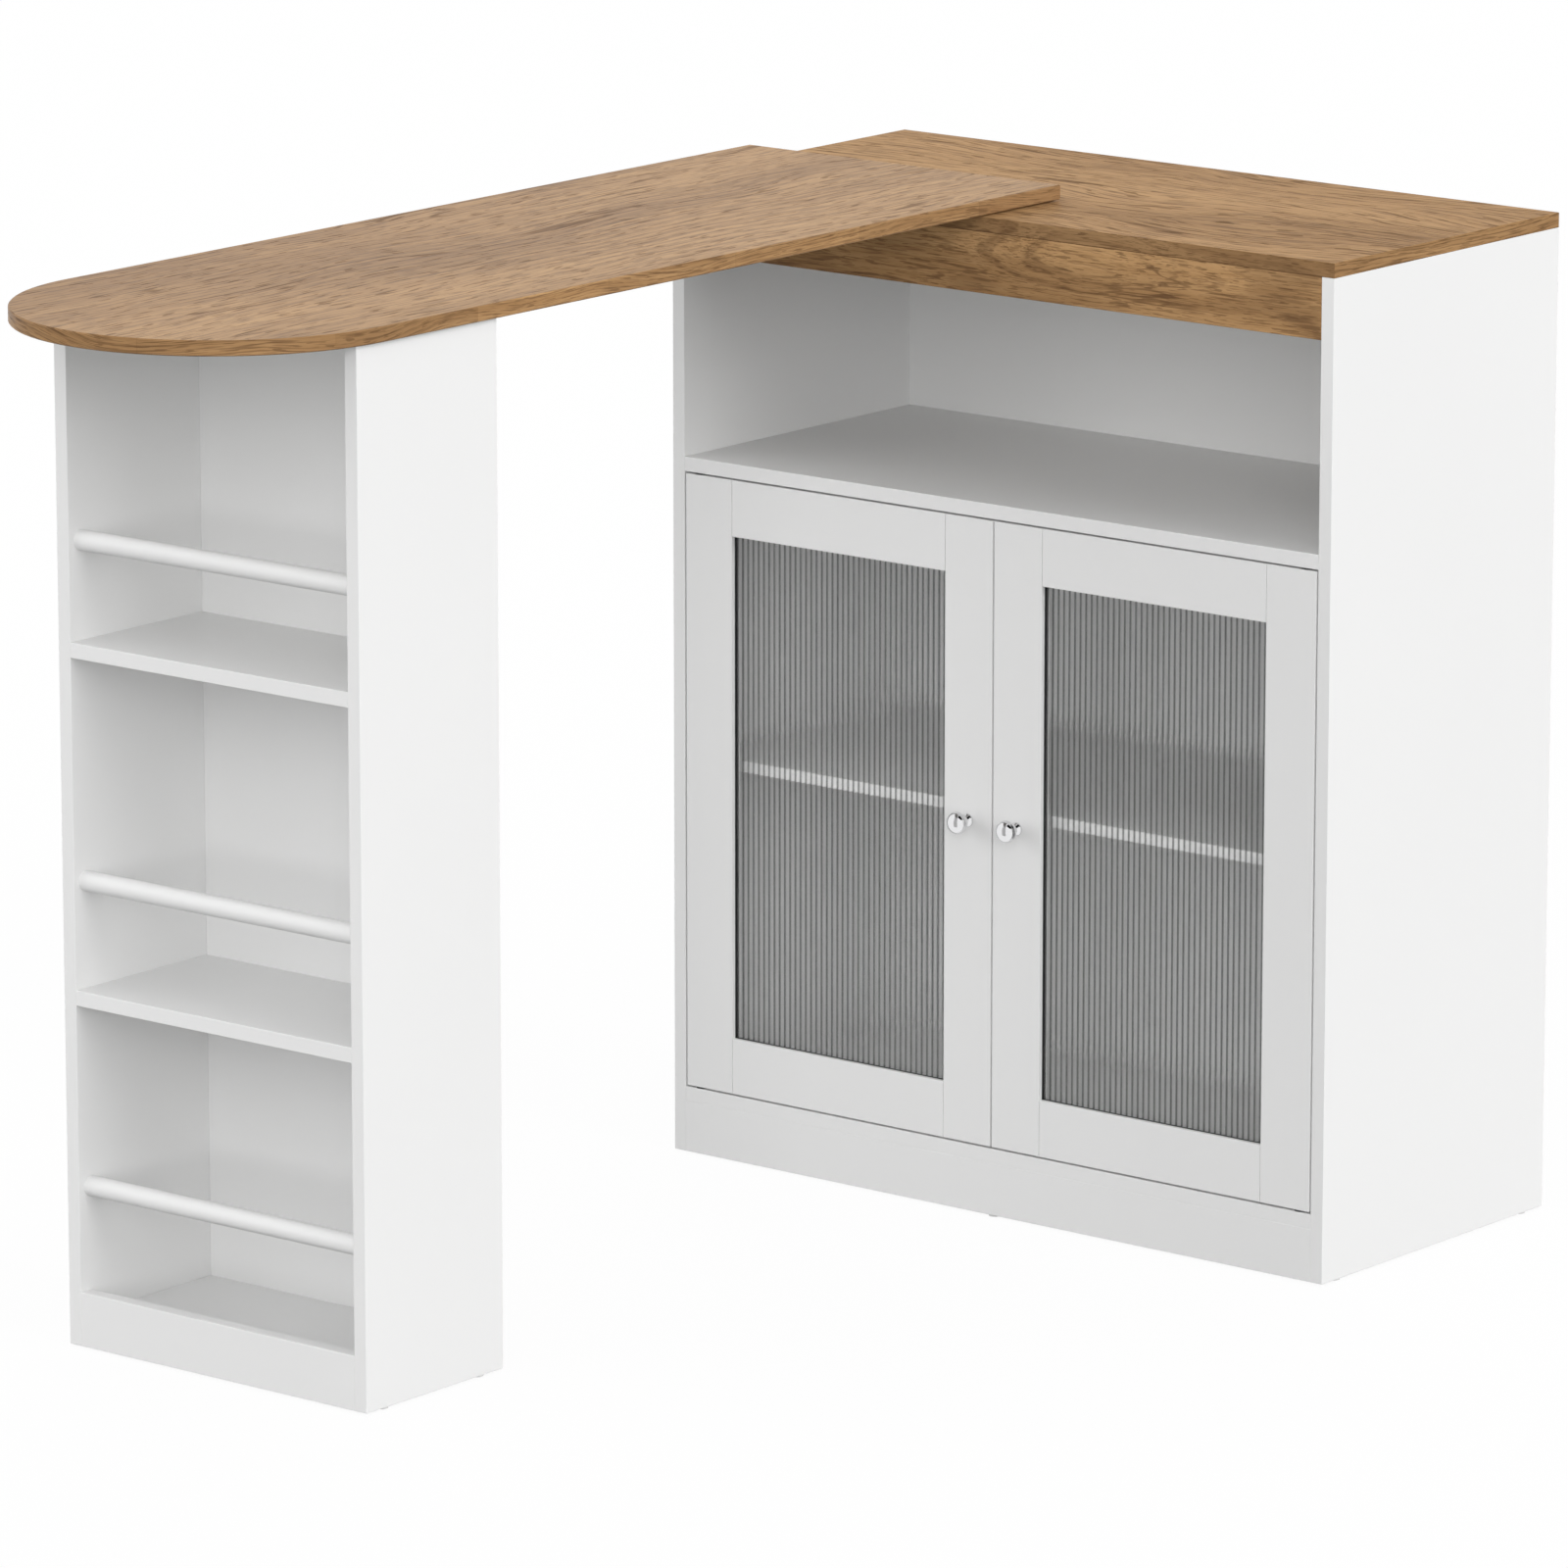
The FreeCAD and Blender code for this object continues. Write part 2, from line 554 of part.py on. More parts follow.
def glazing_seal():
    """The black seal between the door's lip and the glass."""
    edge = GLASS_REBATE - FITTING_CLEARANCE
    y0 = FRONT + GLASS_LIP
    outer = block(
        OPENING_OUTER - edge, OPENING_INNER + edge, y0, y0 + SEAL_THICKNESS,
        OPENING_BOTTOM - edge, OPENING_TOP + edge)
    inner = block(
        OPENING_OUTER, OPENING_INNER, y0 - OVERCUT, y0 + SEAL_THICKNESS + OVERCUT, OPENING_BOTTOM, OPENING_TOP)
    return outer.cut(inner)


def reeded_glass():
    """The pane: flat behind, with a row of rounded reeds in front."""
    edge = GLASS_REBATE - GLASS_CLEARANCE
    x0, x1 = OPENING_OUTER - edge, OPENING_INNER + edge
    z0, z1 = OPENING_BOTTOM - edge, OPENING_TOP + edge
    valley = GLASS_FRONT + REED_HEIGHT
    reeds = int((x1 - x0) / REED_PITCH)
    first = (x0 + x1 - reeds * REED_PITCH) / 2
    edges = [Part.LineSegment(Vector(x0, valley, z0), Vector(first, valley, z0)).toShape()]
    for reed in range(reeds):
        start = first + reed * REED_PITCH
        edges.append(Part.Arc(
            Vector(start, valley, z0), Vector(start + REED_PITCH / 2, GLASS_FRONT, z0),
            Vector(start + REED_PITCH, valley, z0)).toShape())
    last = first + reeds * REED_PITCH
    corners = [(last, valley), (x1, valley), (x1, GLASS_BACK), (x0, GLASS_BACK), (x0, valley)]
    for (xa, ya), (xb, yb) in zip(corners, corners[1:]):
        edges.append(Part.LineSegment(Vector(xa, ya, z0), Vector(xb, yb, z0)).toShape())
    return Part.Face(Part.Wire(edges)).extrude(Vector(0, 0, z1 - z0))


def glazing_beads():
    """Four strips behind the glass, flush with the door's back."""
    edge = GLASS_REBATE - FITTING_CLEARANCE
    x0, x1 = OPENING_OUTER - edge, OPENING_INNER + edge
    z0, z1 = OPENING_BOTTOM - edge, OPENING_TOP + edge
    return [
        block(x0, x0 + edge, GLASS_BACK, DOOR_BACK, z0, z1),
        block(x1 - edge, x1, GLASS_BACK, DOOR_BACK, z0, z1),
        block(x0 + edge, x1 - edge, GLASS_BACK, DOOR_BACK, z0, z0 + edge),
        block(x0 + edge, x1 - edge, GLASS_BACK, DOOR_BACK, z1 - edge, z1),
    ]


def door_pivot_pins():
    """Steel pins in the hinge stile's ends, which turn in the cabinet's bushes."""
    length = HINGE_PIN_SEAT + DOOR_GAP + HINGE_PIN_BITE
    return [
        rod(HINGE_PIN_DIAMETER, Vector(HINGE_X, HINGE_Y, z) - out * HINGE_PIN_SEAT, out, length)
        for z, out in ((DOOR_TOP, UP), (DOOR_BOTTOM, DOWN))]


def knob():
    """A mushroom knob on the meeting stile, with a hole for its screw."""
    base = KNOB_BASE_DIAMETER / 2
    neck = KNOB_NECK_DIAMETER / 2
    head = KNOB_HEAD_DIAMETER / 2
    neck_end = KNOB_BASE_HEIGHT + KNOB_NECK_LENGTH
    dome_start = KNOB_PROJECTION - KNOB_DOME_HEIGHT
    rim_start = dome_start - KNOB_RIM_HEIGHT
    neck_middle = (KNOB_BASE_HEIGHT + neck_end) / 2
    half_angle = math.atan2(KNOB_DOME_HEIGHT, head)
    dome_radius = head / math.sin(2 * half_angle)
    through_radius = dome_radius * math.sin(half_angle)
    through_height = KNOB_PROJECTION - dome_radius * (1 - math.cos(half_angle))
    outline = [
        (0, 0), (base, 0), (base, KNOB_BASE_HEIGHT / 2),
        ((neck + (base - neck) * KNOB_BASE_FLARE, KNOB_BASE_HEIGHT), (neck, neck_middle)),
        ((neck + (head - neck) * KNOB_HEAD_FLARE, neck_end), (head, rim_start)),
        (head, dome_start),
        ((through_radius, through_height), (0, KNOB_PROJECTION)), (0, 0)]
    place = Vector(MEETING_STILE_X, FRONT, KNOB_HEIGHT)
    hole = rod(
        KNOB_SCREW_DIAMETER + 2 * FITTING_CLEARANCE, place + NORTH * OVERCUT, SOUTH,
        KNOB_SCREW_BITE + HOLE_END_ROOM + OVERCUT)
    return turned(outline, place, SOUTH).cut(hole)


def knob_screw():
    """The screw that holds the knob from behind the door."""
    head_seat = Vector(MEETING_STILE_X, DOOR_BACK, KNOB_HEIGHT)
    return joined(
        rod(KNOB_SCREW_DIAMETER, head_seat, SOUTH, DOOR_THICKNESS + KNOB_SCREW_BITE),
        rod(KNOB_SCREW_HEAD_DIAMETER, head_seat, NORTH, KNOB_SCREW_HEAD_HEIGHT))


def strike_plate():
    """The steel plate on the door's back that the magnetic catch holds."""
    strike_z = MIDDLE_SHELF_BOTTOM - CATCH_HEIGHT / 2
    top = min(strike_z + STRIKE_HEIGHT / 2, DOOR_TOP)
    return block(
        MEETING_STILE_X - STRIKE_WIDTH / 2, MEETING_STILE_X + STRIKE_WIDTH / 2,
        DOOR_BACK, DOOR_BACK + STRIKE_THICKNESS, top - STRIKE_HEIGHT, top)


def make_doors():
    """Every node of both doors; the right door mirrors the left one."""
    pieces = {
        "glass_seal": [glazing_seal()],
        "glass": [reeded_glass()],
        "glass_beads": glazing_beads(),
        "pivot_pins": door_pivot_pins(),
        "knob": [knob()],
        "knob_screw": [knob_screw()],
        "strike_plate": [strike_plate()],
    }
    pieces.update({name: [solid] for name, solid in door_frame().items()})
    nodes = {}
    for name, solids in pieces.items():
        nodes[f"left_door_{name}"] = solids
        nodes[f"right_door_{name}"] = [solid.mirror(Vector(0, 0, 0), EAST) for solid in solids]
    return nodes


def tabletop_blank():
    """The bar top: square at the cabinet's end and a half circle at the other."""
    radius = TABLE_WIDTH / 2
    left, right = TABLE_X - radius, TABLE_X + radius
    shoulder = TABLE_TIP + radius
    corners = [Vector(x, y, TABLE_BOTTOM) for x, y in (
        (right, shoulder), (right, TABLE_END), (left, TABLE_END), (left, shoulder))]
    edges = [Part.LineSegment(start, end).toShape() for start, end in zip(corners, corners[1:])]
    edges.append(Part.Arc(corners[-1], Vector(TABLE_X, TABLE_TIP, TABLE_BOTTOM), corners[0]).toShape())
    slab = Part.Face(Part.Wire(edges)).extrude(Vector(0, 0, TABLE_BOARD))
    rims = [edge for edge in slab.Edges if edge.BoundBox.ZLength < EDGE_EASE]
    return slab.makeChamfer(EDGE_EASE, rims)


def table_pivot(joinery):
    """The pivot plate with its pin, its countersunk screws and the lock nut under the cabinet's top."""
    seat = PIVOT + UP * TABLE_BOTTOM
    nut_top = CABINET_SIDE_TOP - PIVOT_BUSH_FLANGE_THICKNESS - RUNNING_GAP
    pin_bottom = nut_top - LOCK_NUT_HEIGHT - PIVOT_END_LENGTH
    plate = joined(
        rod(PIVOT_PLATE_DIAMETER, seat, UP, PIVOT_PLATE_THICKNESS),
        rod(PIVOT_DIAMETER, PIVOT + UP * pin_bottom, UP, TABLE_BOTTOM + PIVOT_PLATE_THICKNESS - pin_bottom))
    joinery.holes["tabletop"].append(rod(
        PIVOT_PLATE_DIAMETER + 2 * FITTING_CLEARANCE, seat - UP * OVERCUT, UP,
        PIVOT_PLATE_THICKNESS + OVERCUT))

    shank = PLATE_SCREW_DIAMETER / 2
    head = PLATE_SCREW_HEAD_DIAMETER / 2
    length = TABLE_BOARD - PLATE_SCREW_SKIN
    screws = []
    for number in range(PLATE_SCREW_COUNT):
        turn = FreeCAD.Rotation(UP, 360 / PLATE_SCREW_COUNT * (number + 0.5))
        place = seat + turn.multVec(EAST * (PLATE_SCREW_CIRCLE / 2))
        outline = [(0, 0), (head, 0), (shank, head - shank), (shank, length), (0, length), (0, 0)]
        screws.append(turned(outline, place, UP))
        room = [(0, -OVERCUT)] + [
            (radius + FITTING_CLEARANCE, height) for radius, height in (
                (head + OVERCUT, -OVERCUT), (shank, head - shank), (shank, length + HOLE_END_ROOM))
        ] + [(0, length + HOLE_END_ROOM), (0, -OVERCUT)]
        hole = turned(room, place, UP)
        plate = plate.cut(hole)
        joinery.holes["tabletop"].append(hole)

    nut_bottom = PIVOT + UP * (nut_top - LOCK_NUT_HEIGHT)
    step = 2 * math.pi / LOCK_NUT_SIDES
    corner = LOCK_NUT_WIDTH / 2 / math.cos(step / 2)
    hexagon = Part.makePolygon([
        nut_bottom + Vector(corner * math.cos(number * step), corner * math.sin(number * step), 0)
        for number in (*range(LOCK_NUT_SIDES), 0)])
    nut = joined(
        Part.Face(hexagon).extrude(Vector(0, 0, LOCK_NUT_HEIGHT)),
        rod(LOCK_NUT_FLANGE_DIAMETER, PIVOT + UP * (nut_top - LOCK_NUT_FLANGE_THICKNESS), UP,
            LOCK_NUT_FLANGE_THICKNESS))
    thread = rod(
        PIVOT_DIAMETER + 2 * FITTING_CLEARANCE, PIVOT + UP * (pin_bottom - OVERCUT), UP,
        nut_top - pin_bottom + 2 * OVERCUT)
    return {"pivot_plate": [plate], "plate_screws": screws, "lock_nut": [nut.cut(thread)]}


def tower_boards():
    """The bottle tower's blank boards."""
    kick_back = TOWER_FRONT + BOARD
    boards = {
        "tower_left_side": board(
            TOWER_LEFT, TOWER_INNER_LEFT, TOWER_FRONT, TOWER_BACK, GLIDE_HEIGHT, TABLE_BOTTOM),
        "tower_right_side": board(
            TOWER_INNER_RIGHT, TOWER_RIGHT, TOWER_FRONT, TOWER_BACK, GLIDE_HEIGHT, TABLE_BOTTOM),
        "tower_back": board(
            TOWER_INNER_LEFT, TOWER_INNER_RIGHT, TOWER_BACK_FRONT, TOWER_BACK, GLIDE_HEIGHT, TABLE_BOTTOM),
        "tower_kickboard": board(
            TOWER_INNER_LEFT, TOWER_INNER_RIGHT, TOWER_FRONT, kick_back, GLIDE_HEIGHT, KICKBOARD_TOP),
        "tower_bottom": board(
            TOWER_INNER_LEFT, TOWER_INNER_RIGHT, kick_back, TOWER_BACK_FRONT,
            TOWER_BOTTOM_TOP - BOARD, TOWER_BOTTOM_TOP),
    }
    for name, top in (("upper_tower_shelf", UPPER_SHELF_TOP), ("lower_tower_shelf", LOWER_SHELF_TOP)):
        boards[name] = board(
            TOWER_INNER_LEFT, TOWER_INNER_RIGHT, TOWER_FRONT, TOWER_BACK_FRONT, top - BOARD, top)
    return boards


def fasten_tower(joinery):
    """Cam locks and dowels between the tower's boards, and dowels up into the tabletop."""
    front = TOWER_FRONT + TOWER_CAM_INSET
    rear = TOWER_BACK_FRONT - TOWER_CAM_INSET
    middle = (front + rear) / 2
    kick_middle = (GLIDE_HEIGHT + KICKBOARD_TOP) / 2
    back_y = TOWER_BACK - TOWER_BACK_BOARD / 2
    back_pitch = (TABLE_BOTTOM - GLIDE_HEIGHT) / TOWER_BACK_DOWELS
    sides = (("tower_left_side", TOWER_INNER_LEFT, EAST), ("tower_right_side", TOWER_INNER_RIGHT, WEST))
    for side, x, into in sides:
        for name, top in (
            ("upper_tower_shelf", UPPER_SHELF_TOP),
            ("lower_tower_shelf", LOWER_SHELF_TOP),
            ("tower_bottom", TOWER_BOTTOM_TOP),
        ):
            z = top - BOARD / 2
            for y in (front, rear):
                joinery.cam(name, side, Vector(x, y, z), into, DOWN, BOARD)
            joinery.dowel(name, side, Vector(x, middle, z), into, BOARD)
        for z in (kick_middle - RAIL_FITTING_SPREAD, kick_middle + RAIL_FITTING_SPREAD):
            joinery.dowel("tower_kickboard", side, Vector(x, TOWER_FRONT + BOARD / 2, z), into, BOARD)
        for number in range(TOWER_BACK_DOWELS):
            z = GLIDE_HEIGHT + back_pitch * (number + 0.5)
            joinery.dowel("tower_back", side, Vector(x, back_y, z), into, BOARD)
        edge_x = x - into.x * BOARD / 2
        for y in (front, rear):
            joinery.dowel(side, "tabletop", Vector(edge_x, y, TABLE_BOTTOM), DOWN, TABLE_BOARD)


def tower_bars(joinery):
    """Three round bars across the tower's front, let into its sides."""
    bars = {}
    start_x = TOWER_INNER_LEFT - BAR_SOCKET
    length = TOWER_INNER_RIGHT + BAR_SOCKET - start_x
    for name, z in (
        ("upper_bar", UPPER_SHELF_TOP + UPPER_BAR_RISE),
        ("middle_bar", LOWER_SHELF_TOP + MIDDLE_BAR_RISE),
        ("lower_bar", TOWER_BOTTOM_TOP + LOWER_BAR_RISE),
    ):
        start = Vector(start_x, TOWER_FRONT + BAR_SETBACK, z)
        bars[name] = [rod(BAR_DIAMETER, start, EAST, length)]
        socket = rod(
            BAR_DIAMETER + 2 * FITTING_CLEARANCE, start - EAST * HOLE_END_ROOM, EAST,
            length + 2 * HOLE_END_ROOM)
        joinery.holes["tower_left_side"].append(socket)
        joinery.holes["tower_right_side"].append(socket)
    return bars


def table_brackets(joinery):
    """Two angle brackets behind the tower, and their screws up into the tabletop and into the back."""
    brackets = []
    screws = []
    for x in (TABLE_X - BRACKET_SPACING / 2, TABLE_X + BRACKET_SPACING / 2):
        x0, x1 = x - BRACKET_WIDTH / 2, x + BRACKET_WIDTH / 2
        y_face = TOWER_BACK + BRACKET_THICKNESS
        z_face = TABLE_BOTTOM - BRACKET_THICKNESS
        bracket = joined(
            block(x0, x1, TOWER_BACK, TOWER_BACK + BRACKET_LEG, z_face, TABLE_BOTTOM),
            block(x0, x1, TOWER_BACK, y_face, TABLE_BOTTOM - BRACKET_LEG, TABLE_BOTTOM))
        for reach in (BRACKET_HOLE_INSET, BRACKET_HOLE_INSET + BRACKET_SCREW_PITCH):
            for name, place, into, thickness in (
                ("tabletop", Vector(x, TOWER_BACK + reach, z_face), UP, TABLE_BOARD),
                ("tower_back", Vector(x, y_face, TABLE_BOTTOM - reach), SOUTH, TOWER_BACK_BOARD),
            ):
                length = BRACKET_THICKNESS + thickness - BRACKET_SCREW_SKIN
                hole = rod(
                    BRACKET_SCREW_DIAMETER + 2 * FITTING_CLEARANCE, place - into * OVERCUT, into,
                    length + HOLE_END_ROOM + OVERCUT)
                screws.append(joined(
                    rod(BRACKET_SCREW_DIAMETER, place, into, length),
                    rod(BRACKET_SCREW_HEAD_DIAMETER, place, into * -1, BRACKET_SCREW_HEAD_HEIGHT)))
                bracket = bracket.cut(hole)
                joinery.holes[name].append(hole)
        brackets.append(bracket)
    return {"table_brackets": brackets, "bracket_screws": screws}


def tower_glides(joinery):
    """Glides at the ends of the tower's sides."""
    places = []
    sides = (("tower_left_side", TOWER_LEFT + BOARD / 2), ("tower_right_side", TOWER_RIGHT - BOARD / 2))
    for name, x in sides:
        places += [(name, x, TOWER_FRONT + GLIDE_INSET), (name, x, TOWER_BACK - GLIDE_INSET)]
    return [glide(x, y, joinery, name) for name, x, y in places]


def make_table():
    """Every node of the turning table: tabletop, pivot and bottle tower."""
    joinery = Joinery()
    fasten_tower(joinery)
    nodes = {
        "tower_glides": tower_glides(joinery),
        "tower_cam_locks": joinery.locks,
        "tower_cam_bolts": joinery.bolts,
        "tower_dowels": joinery.dowels,
    }
    nodes.update(tower_bars(joinery))
    nodes.update(table_brackets(joinery))
    nodes.update(table_pivot(joinery))
    boards = {"tabletop": tabletop_blank(), **tower_boards()}
    nodes.update({name: [solid] for name, solid in joinery.drilled(boards).items()})
    return nodes


def main():
    os.makedirs("parts", exist_ok=True)
    nodes = {**make_cabinet(), **make_doors(), **make_table()}
    for name, solids in nodes.items():
        shape = solids[0] if len(solids) == 1 else Part.makeCompound(solids)
        shape.exportStep(os.path.join("parts", name + ".step"))
    print(len(nodes), "nodes")


main()
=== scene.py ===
import json
import math

import bmesh
import bpy
from bpy.props import FloatProperty, FloatVectorProperty, IntProperty, PointerProperty
from bpy.types import Operator, Panel, PropertyGroup
from mathutils import Euler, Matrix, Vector


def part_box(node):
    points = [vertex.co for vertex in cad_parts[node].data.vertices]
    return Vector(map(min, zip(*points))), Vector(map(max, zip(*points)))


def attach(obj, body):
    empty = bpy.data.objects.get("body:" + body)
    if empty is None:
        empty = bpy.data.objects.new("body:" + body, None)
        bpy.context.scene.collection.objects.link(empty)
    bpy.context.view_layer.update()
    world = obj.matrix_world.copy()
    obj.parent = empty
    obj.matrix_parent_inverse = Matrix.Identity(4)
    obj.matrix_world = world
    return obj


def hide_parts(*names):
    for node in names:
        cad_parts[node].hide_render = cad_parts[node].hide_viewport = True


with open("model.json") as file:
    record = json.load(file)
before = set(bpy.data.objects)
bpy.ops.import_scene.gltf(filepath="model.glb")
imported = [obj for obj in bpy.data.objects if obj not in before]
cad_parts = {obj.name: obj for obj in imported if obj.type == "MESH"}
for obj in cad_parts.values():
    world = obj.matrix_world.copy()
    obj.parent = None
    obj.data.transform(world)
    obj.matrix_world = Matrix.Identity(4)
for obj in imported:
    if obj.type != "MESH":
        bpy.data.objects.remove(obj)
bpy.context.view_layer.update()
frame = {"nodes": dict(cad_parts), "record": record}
NODES = frame["nodes"]

bl_info = {
    "name": "Rotating Bar Table",
    "version": (1, 0, 0),
    "blender": (4, 5, 0),
    "location": "3D View > Sidebar > Bar Table",
    "description": "Finishes and detail pieces for a bar table that turns on a storage cabinet",
    "category": "Object",
}

SIDES = ("left", "right")
WELD = 1e-6                     # points closer than this are one point
NEAR = 20 * WELD                # slack for a point that lies on a plane
EASE = 0.0004                   # width of the CAD boards' eased edges

# Parts of a unit normal: a face leans, is turned to an axis, or is square to it
LEANING, TURNED, SQUARE = 0.3, 0.7, 0.95
# Edges that bend less than this, in degrees, are shaded smooth
BOARD_CREASE, KNOB_CREASE, SCREW_CREASE, REED_CREASE = 30, 50, 35, 35

TOP_GRAIN = (0.7, 0.45, 0.45)   # the tops' figure is larger than the apron's
END_GRAIN = 0.37                # where a board's ends lie in the grain, away from its faces
GRAIN_ROUGHNESS = 0.06          # about what the grain adds to the roughness
JOINT_PAINTED_SHADE = 0.85              # painted shade on a board's eased edge at its joint, where the gap between two boards lies in shadow
PAPER_COVER = 0.94              # how much of the grain the backing paper covers
BAND_ROW, END_ROW = 2.0, 2.5    # the grain map's rows for the edge band, and for that of the square end
BAND_START = 1.5                # the rows above this are edge band
BAND_SEED = 468                 # sets which pieces of the edge band are dark
BAND_SHADES = (0.06, 0.46)      # how dark the lightest and the darkest piece are
SEAM_WIDTH, SEAM_SHADE = 0.006, 0.5     # of a seam, as shares of a piece's length and of full dark

# Heights of the bumps in metres
OAK_RELIEF, FINE_RELIEF, GLASS_RELIEF = 0.00012, 0.00006, 0.00004
PAINTED_VALLEY_SPAN = (0.46, 0.95)           # where the painted shade of the line between two reeds starts, and where it is full

# The knob's outline in metres: heights above its foot, depths below its face, and its eased rims
FOOT_RIM, FOOT_TOP, NECK_TOP = 0.0012, 0.0022, 0.0070
HEAD_UNDER, HEAD_LOW, HEAD_HIGH, CROWN = 0.0095, 0.0087, 0.0073, 0.0065
FOOT_EASE, HEAD_EASE = 0.0005, 0.0006
HEAD_FLARE = 2.2                # power of the curve from the neck to the head
CURVE_STEPS, CROWN_STEPS = 8, 12

# The brackets' plates and the places of their screws, from the corner of a bracket
BRACKET_PLATE, HALF_BRACKET = 0.002, 0.011
SCREW_REACHES = (0.011, 0.023)
BRACKET_SHANK, BRACKET_BITE, KNOB_SHANK = 0.0035, 0.010, 0.004
HEAD_SEGMENTS, HEAD_RINGS, SHANK_SIDES = 24, 14, 16
# Blocks cut from a screw's head, as shares of its size: its lower half and the two slots
UNDERSIDE = (1.2, 1.2, 1.0)
SLOTS = ((0.14, 0.56, 1.1), (0.56, 0.14, 1.1))

FITTINGS = {
    "steel": dict(
        name="Zinc-plated steel", tint=(0.56, 0.56, 0.55), roughness=0.32, grain_size=0.0005,
        cloud_size=0.02, cloud=0.14, bump=0.08, metallic=1.0, stretch=(1, 6, 1)),
    "zinc_fittings": dict(
        name="Die-cast zinc", tint=(0.50, 0.51, 0.52), roughness=0.42, grain_size=0.0004,
        cloud_size=0.006, cloud=0.20, bump=0.12, metallic=1.0),
    "nylon": dict(
        name="Dark nylon", tint=(0.045, 0.045, 0.047), roughness=0.45, grain_size=0.0005,
        cloud_size=0.01, cloud=0.3, bump=0.08),
    "black_seal": dict(
        name="Glazing seal", tint=(0.016, 0.016, 0.017), roughness=0.55, grain_size=0.0004,
        cloud_size=0.02, cloud=0.5, bump=0.15),
    "beech_dowel": dict(
        name="Beech", tint=(0.58, 0.42, 0.26), roughness=0.6, grain_size=0.0004,
        cloud_size=0.004, cloud=0.35, bump=0.2, stretch=(0.1, 1, 1)),
    "glide_plastic": dict(
        name="Glide plastic", tint=(0.72, 0.72, 0.71), roughness=0.5, grain_size=0.0005,
        cloud_size=0.006, cloud=0.2, bump=0.12),
    "catch_plastic": dict(
        name="Catch plastic", tint=(0.76, 0.76, 0.75), roughness=0.4, grain_size=0.0005,
        cloud_size=0.012, cloud=0.06, bump=0.1),
}

# Each lamp's name, the way to it, and its spread in degrees
LAMPS = {
    "key": ("Key lamp", (0.93, 0.0, 0.37), 35),
    "right_fill": ("Right fill lamp", (0.57, -0.79, 0.24), 40),
    "left_fill": ("Left fill lamp", (-0.76, -0.64, 0.16), 50),
    "back": ("Back lamp", (-0.55, 0.83, 0.08), 50),
}
LAMP_DISTANCE = 6
FLOOR_REACH, FLOOR_DROP = 40.0, 0.0003
FLOOR_GREY, FLOOR_LIFT, FLOOR_GLOW = 0.18, 0.72, 0.945   # for the light it sends back, and as it is seen
OVERHEAD, OVERHEAD_LIGHT = (0.4, 1.0), 0.5      # where the room's light fades upwards, and to what share
SENSOR_WIDTH = 36
CARD_LOW, CARD_HIGH, CARD_HEIGHT = (0.3, -2.6), (4.2, 2.6), 3.5


def node_size(node):
    """Width, depth and height of a CAD node."""
    low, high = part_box(node)
    return high - low


def middle_at(low, high, y):
    """The middle of a box across its width and height, at a depth."""
    return Vector(((low.x + high.x) / 2, y, (low.z + high.z) / 2))


def colour(name, description, default):
    """A colour that a user would change."""
    return FloatVectorProperty(
        name=name, description=description, subtype="COLOR", size=4, min=0, max=1, default=(*default, 1))


def length(name, description, default):
    """A size in metres."""
    return FloatProperty(
        name=name, description=description, unit="LENGTH", min=0, precision=5, default=default)


def share(name, description, default):
    """A value from 0 to 1."""
    return FloatProperty(
        name=name, description=description, subtype="FACTOR", min=0, max=1, default=default)


def angle(name, description, default):
    """An angle, given in degrees."""
    return FloatProperty(
        name=name, description=description, subtype="ANGLE", default=math.radians(default))


def brightness(name, description, default):
    """The strength of a light."""
    return FloatProperty(name=name, description=description, min=0, default=default)


class OakProperties(PropertyGroup):
    """The oak laminate of the tabletop, the fixed top and the apron."""

    light: colour("Light Grain", "Palest streaks of the oak", (0.500, 0.304, 0.143))
    middle: colour("Middle Grain", "Main colour of the oak", (0.365, 0.207, 0.090))
    dark: colour("Dark Grain", "Brown streaks and pores of the oak", (0.115, 0.060, 0.029))
    backing: colour("Backing", "Pale paper under the tops", (0.66, 0.645, 0.615))
    band_length: length("Band Length", "Length of one piece of the tabletop's edge band", 0.19)
    arris: length("Eased Edge", "Width of the tabletop's eased edge", 0.0011)
    gloss: share("Roughness", "Roughness of the laminate", 0.50)


class MelamineProperties(PropertyGroup):
    """The white boards."""

    white: colour("White", "Colour of the melamine", (0.82, 0.82, 0.817))
    gloss: share("Roughness", "Roughness of the melamine", 0.42)
    pearl: length("Pearl Size", "Size of the fine bumps in the melamine's face", 0.0011)
    joint: length("Joint Line", "Width of the line where a door's rail meets its stile", 0.0005)


class GlassProperties(PropertyGroup):
    """The reeded panes of the doors."""

    tint: colour("Tint", "Colour of the glass", (0.985, 0.987, 0.986))
    pitch: length("Reed Pitch", "Distance from one reed to the next", 0.00687)
    reed_height: length("Reed Height", "How far a reed stands out", 0.0004)
    steps: IntProperty(name="Reed Steps", description="Faces across one reed", min=2, max=24, default=12)
    # painted shade: the glass's tint is darkened on the line between two reeds
    valley_shade: share("Valley Light", "Share of the light that the line between two reeds lets through", 0.05)


class KnobProperties(PropertyGroup):
    """The doors' knobs."""

    head: length("Head Diameter", "Diameter of the knob's head", node_size("left_door_knob").x)
    reach: length("Reach", "How far the knob stands out", node_size("left_door_knob").y)
    base: length("Base Diameter", "Diameter of the knob's foot", 0.014)
    neck: length("Neck Diameter", "Diameter of the knob's neck", 0.0075)
    turns: IntProperty(name="Facets", description="Faces round the knob", min=12, max=128, default=64)


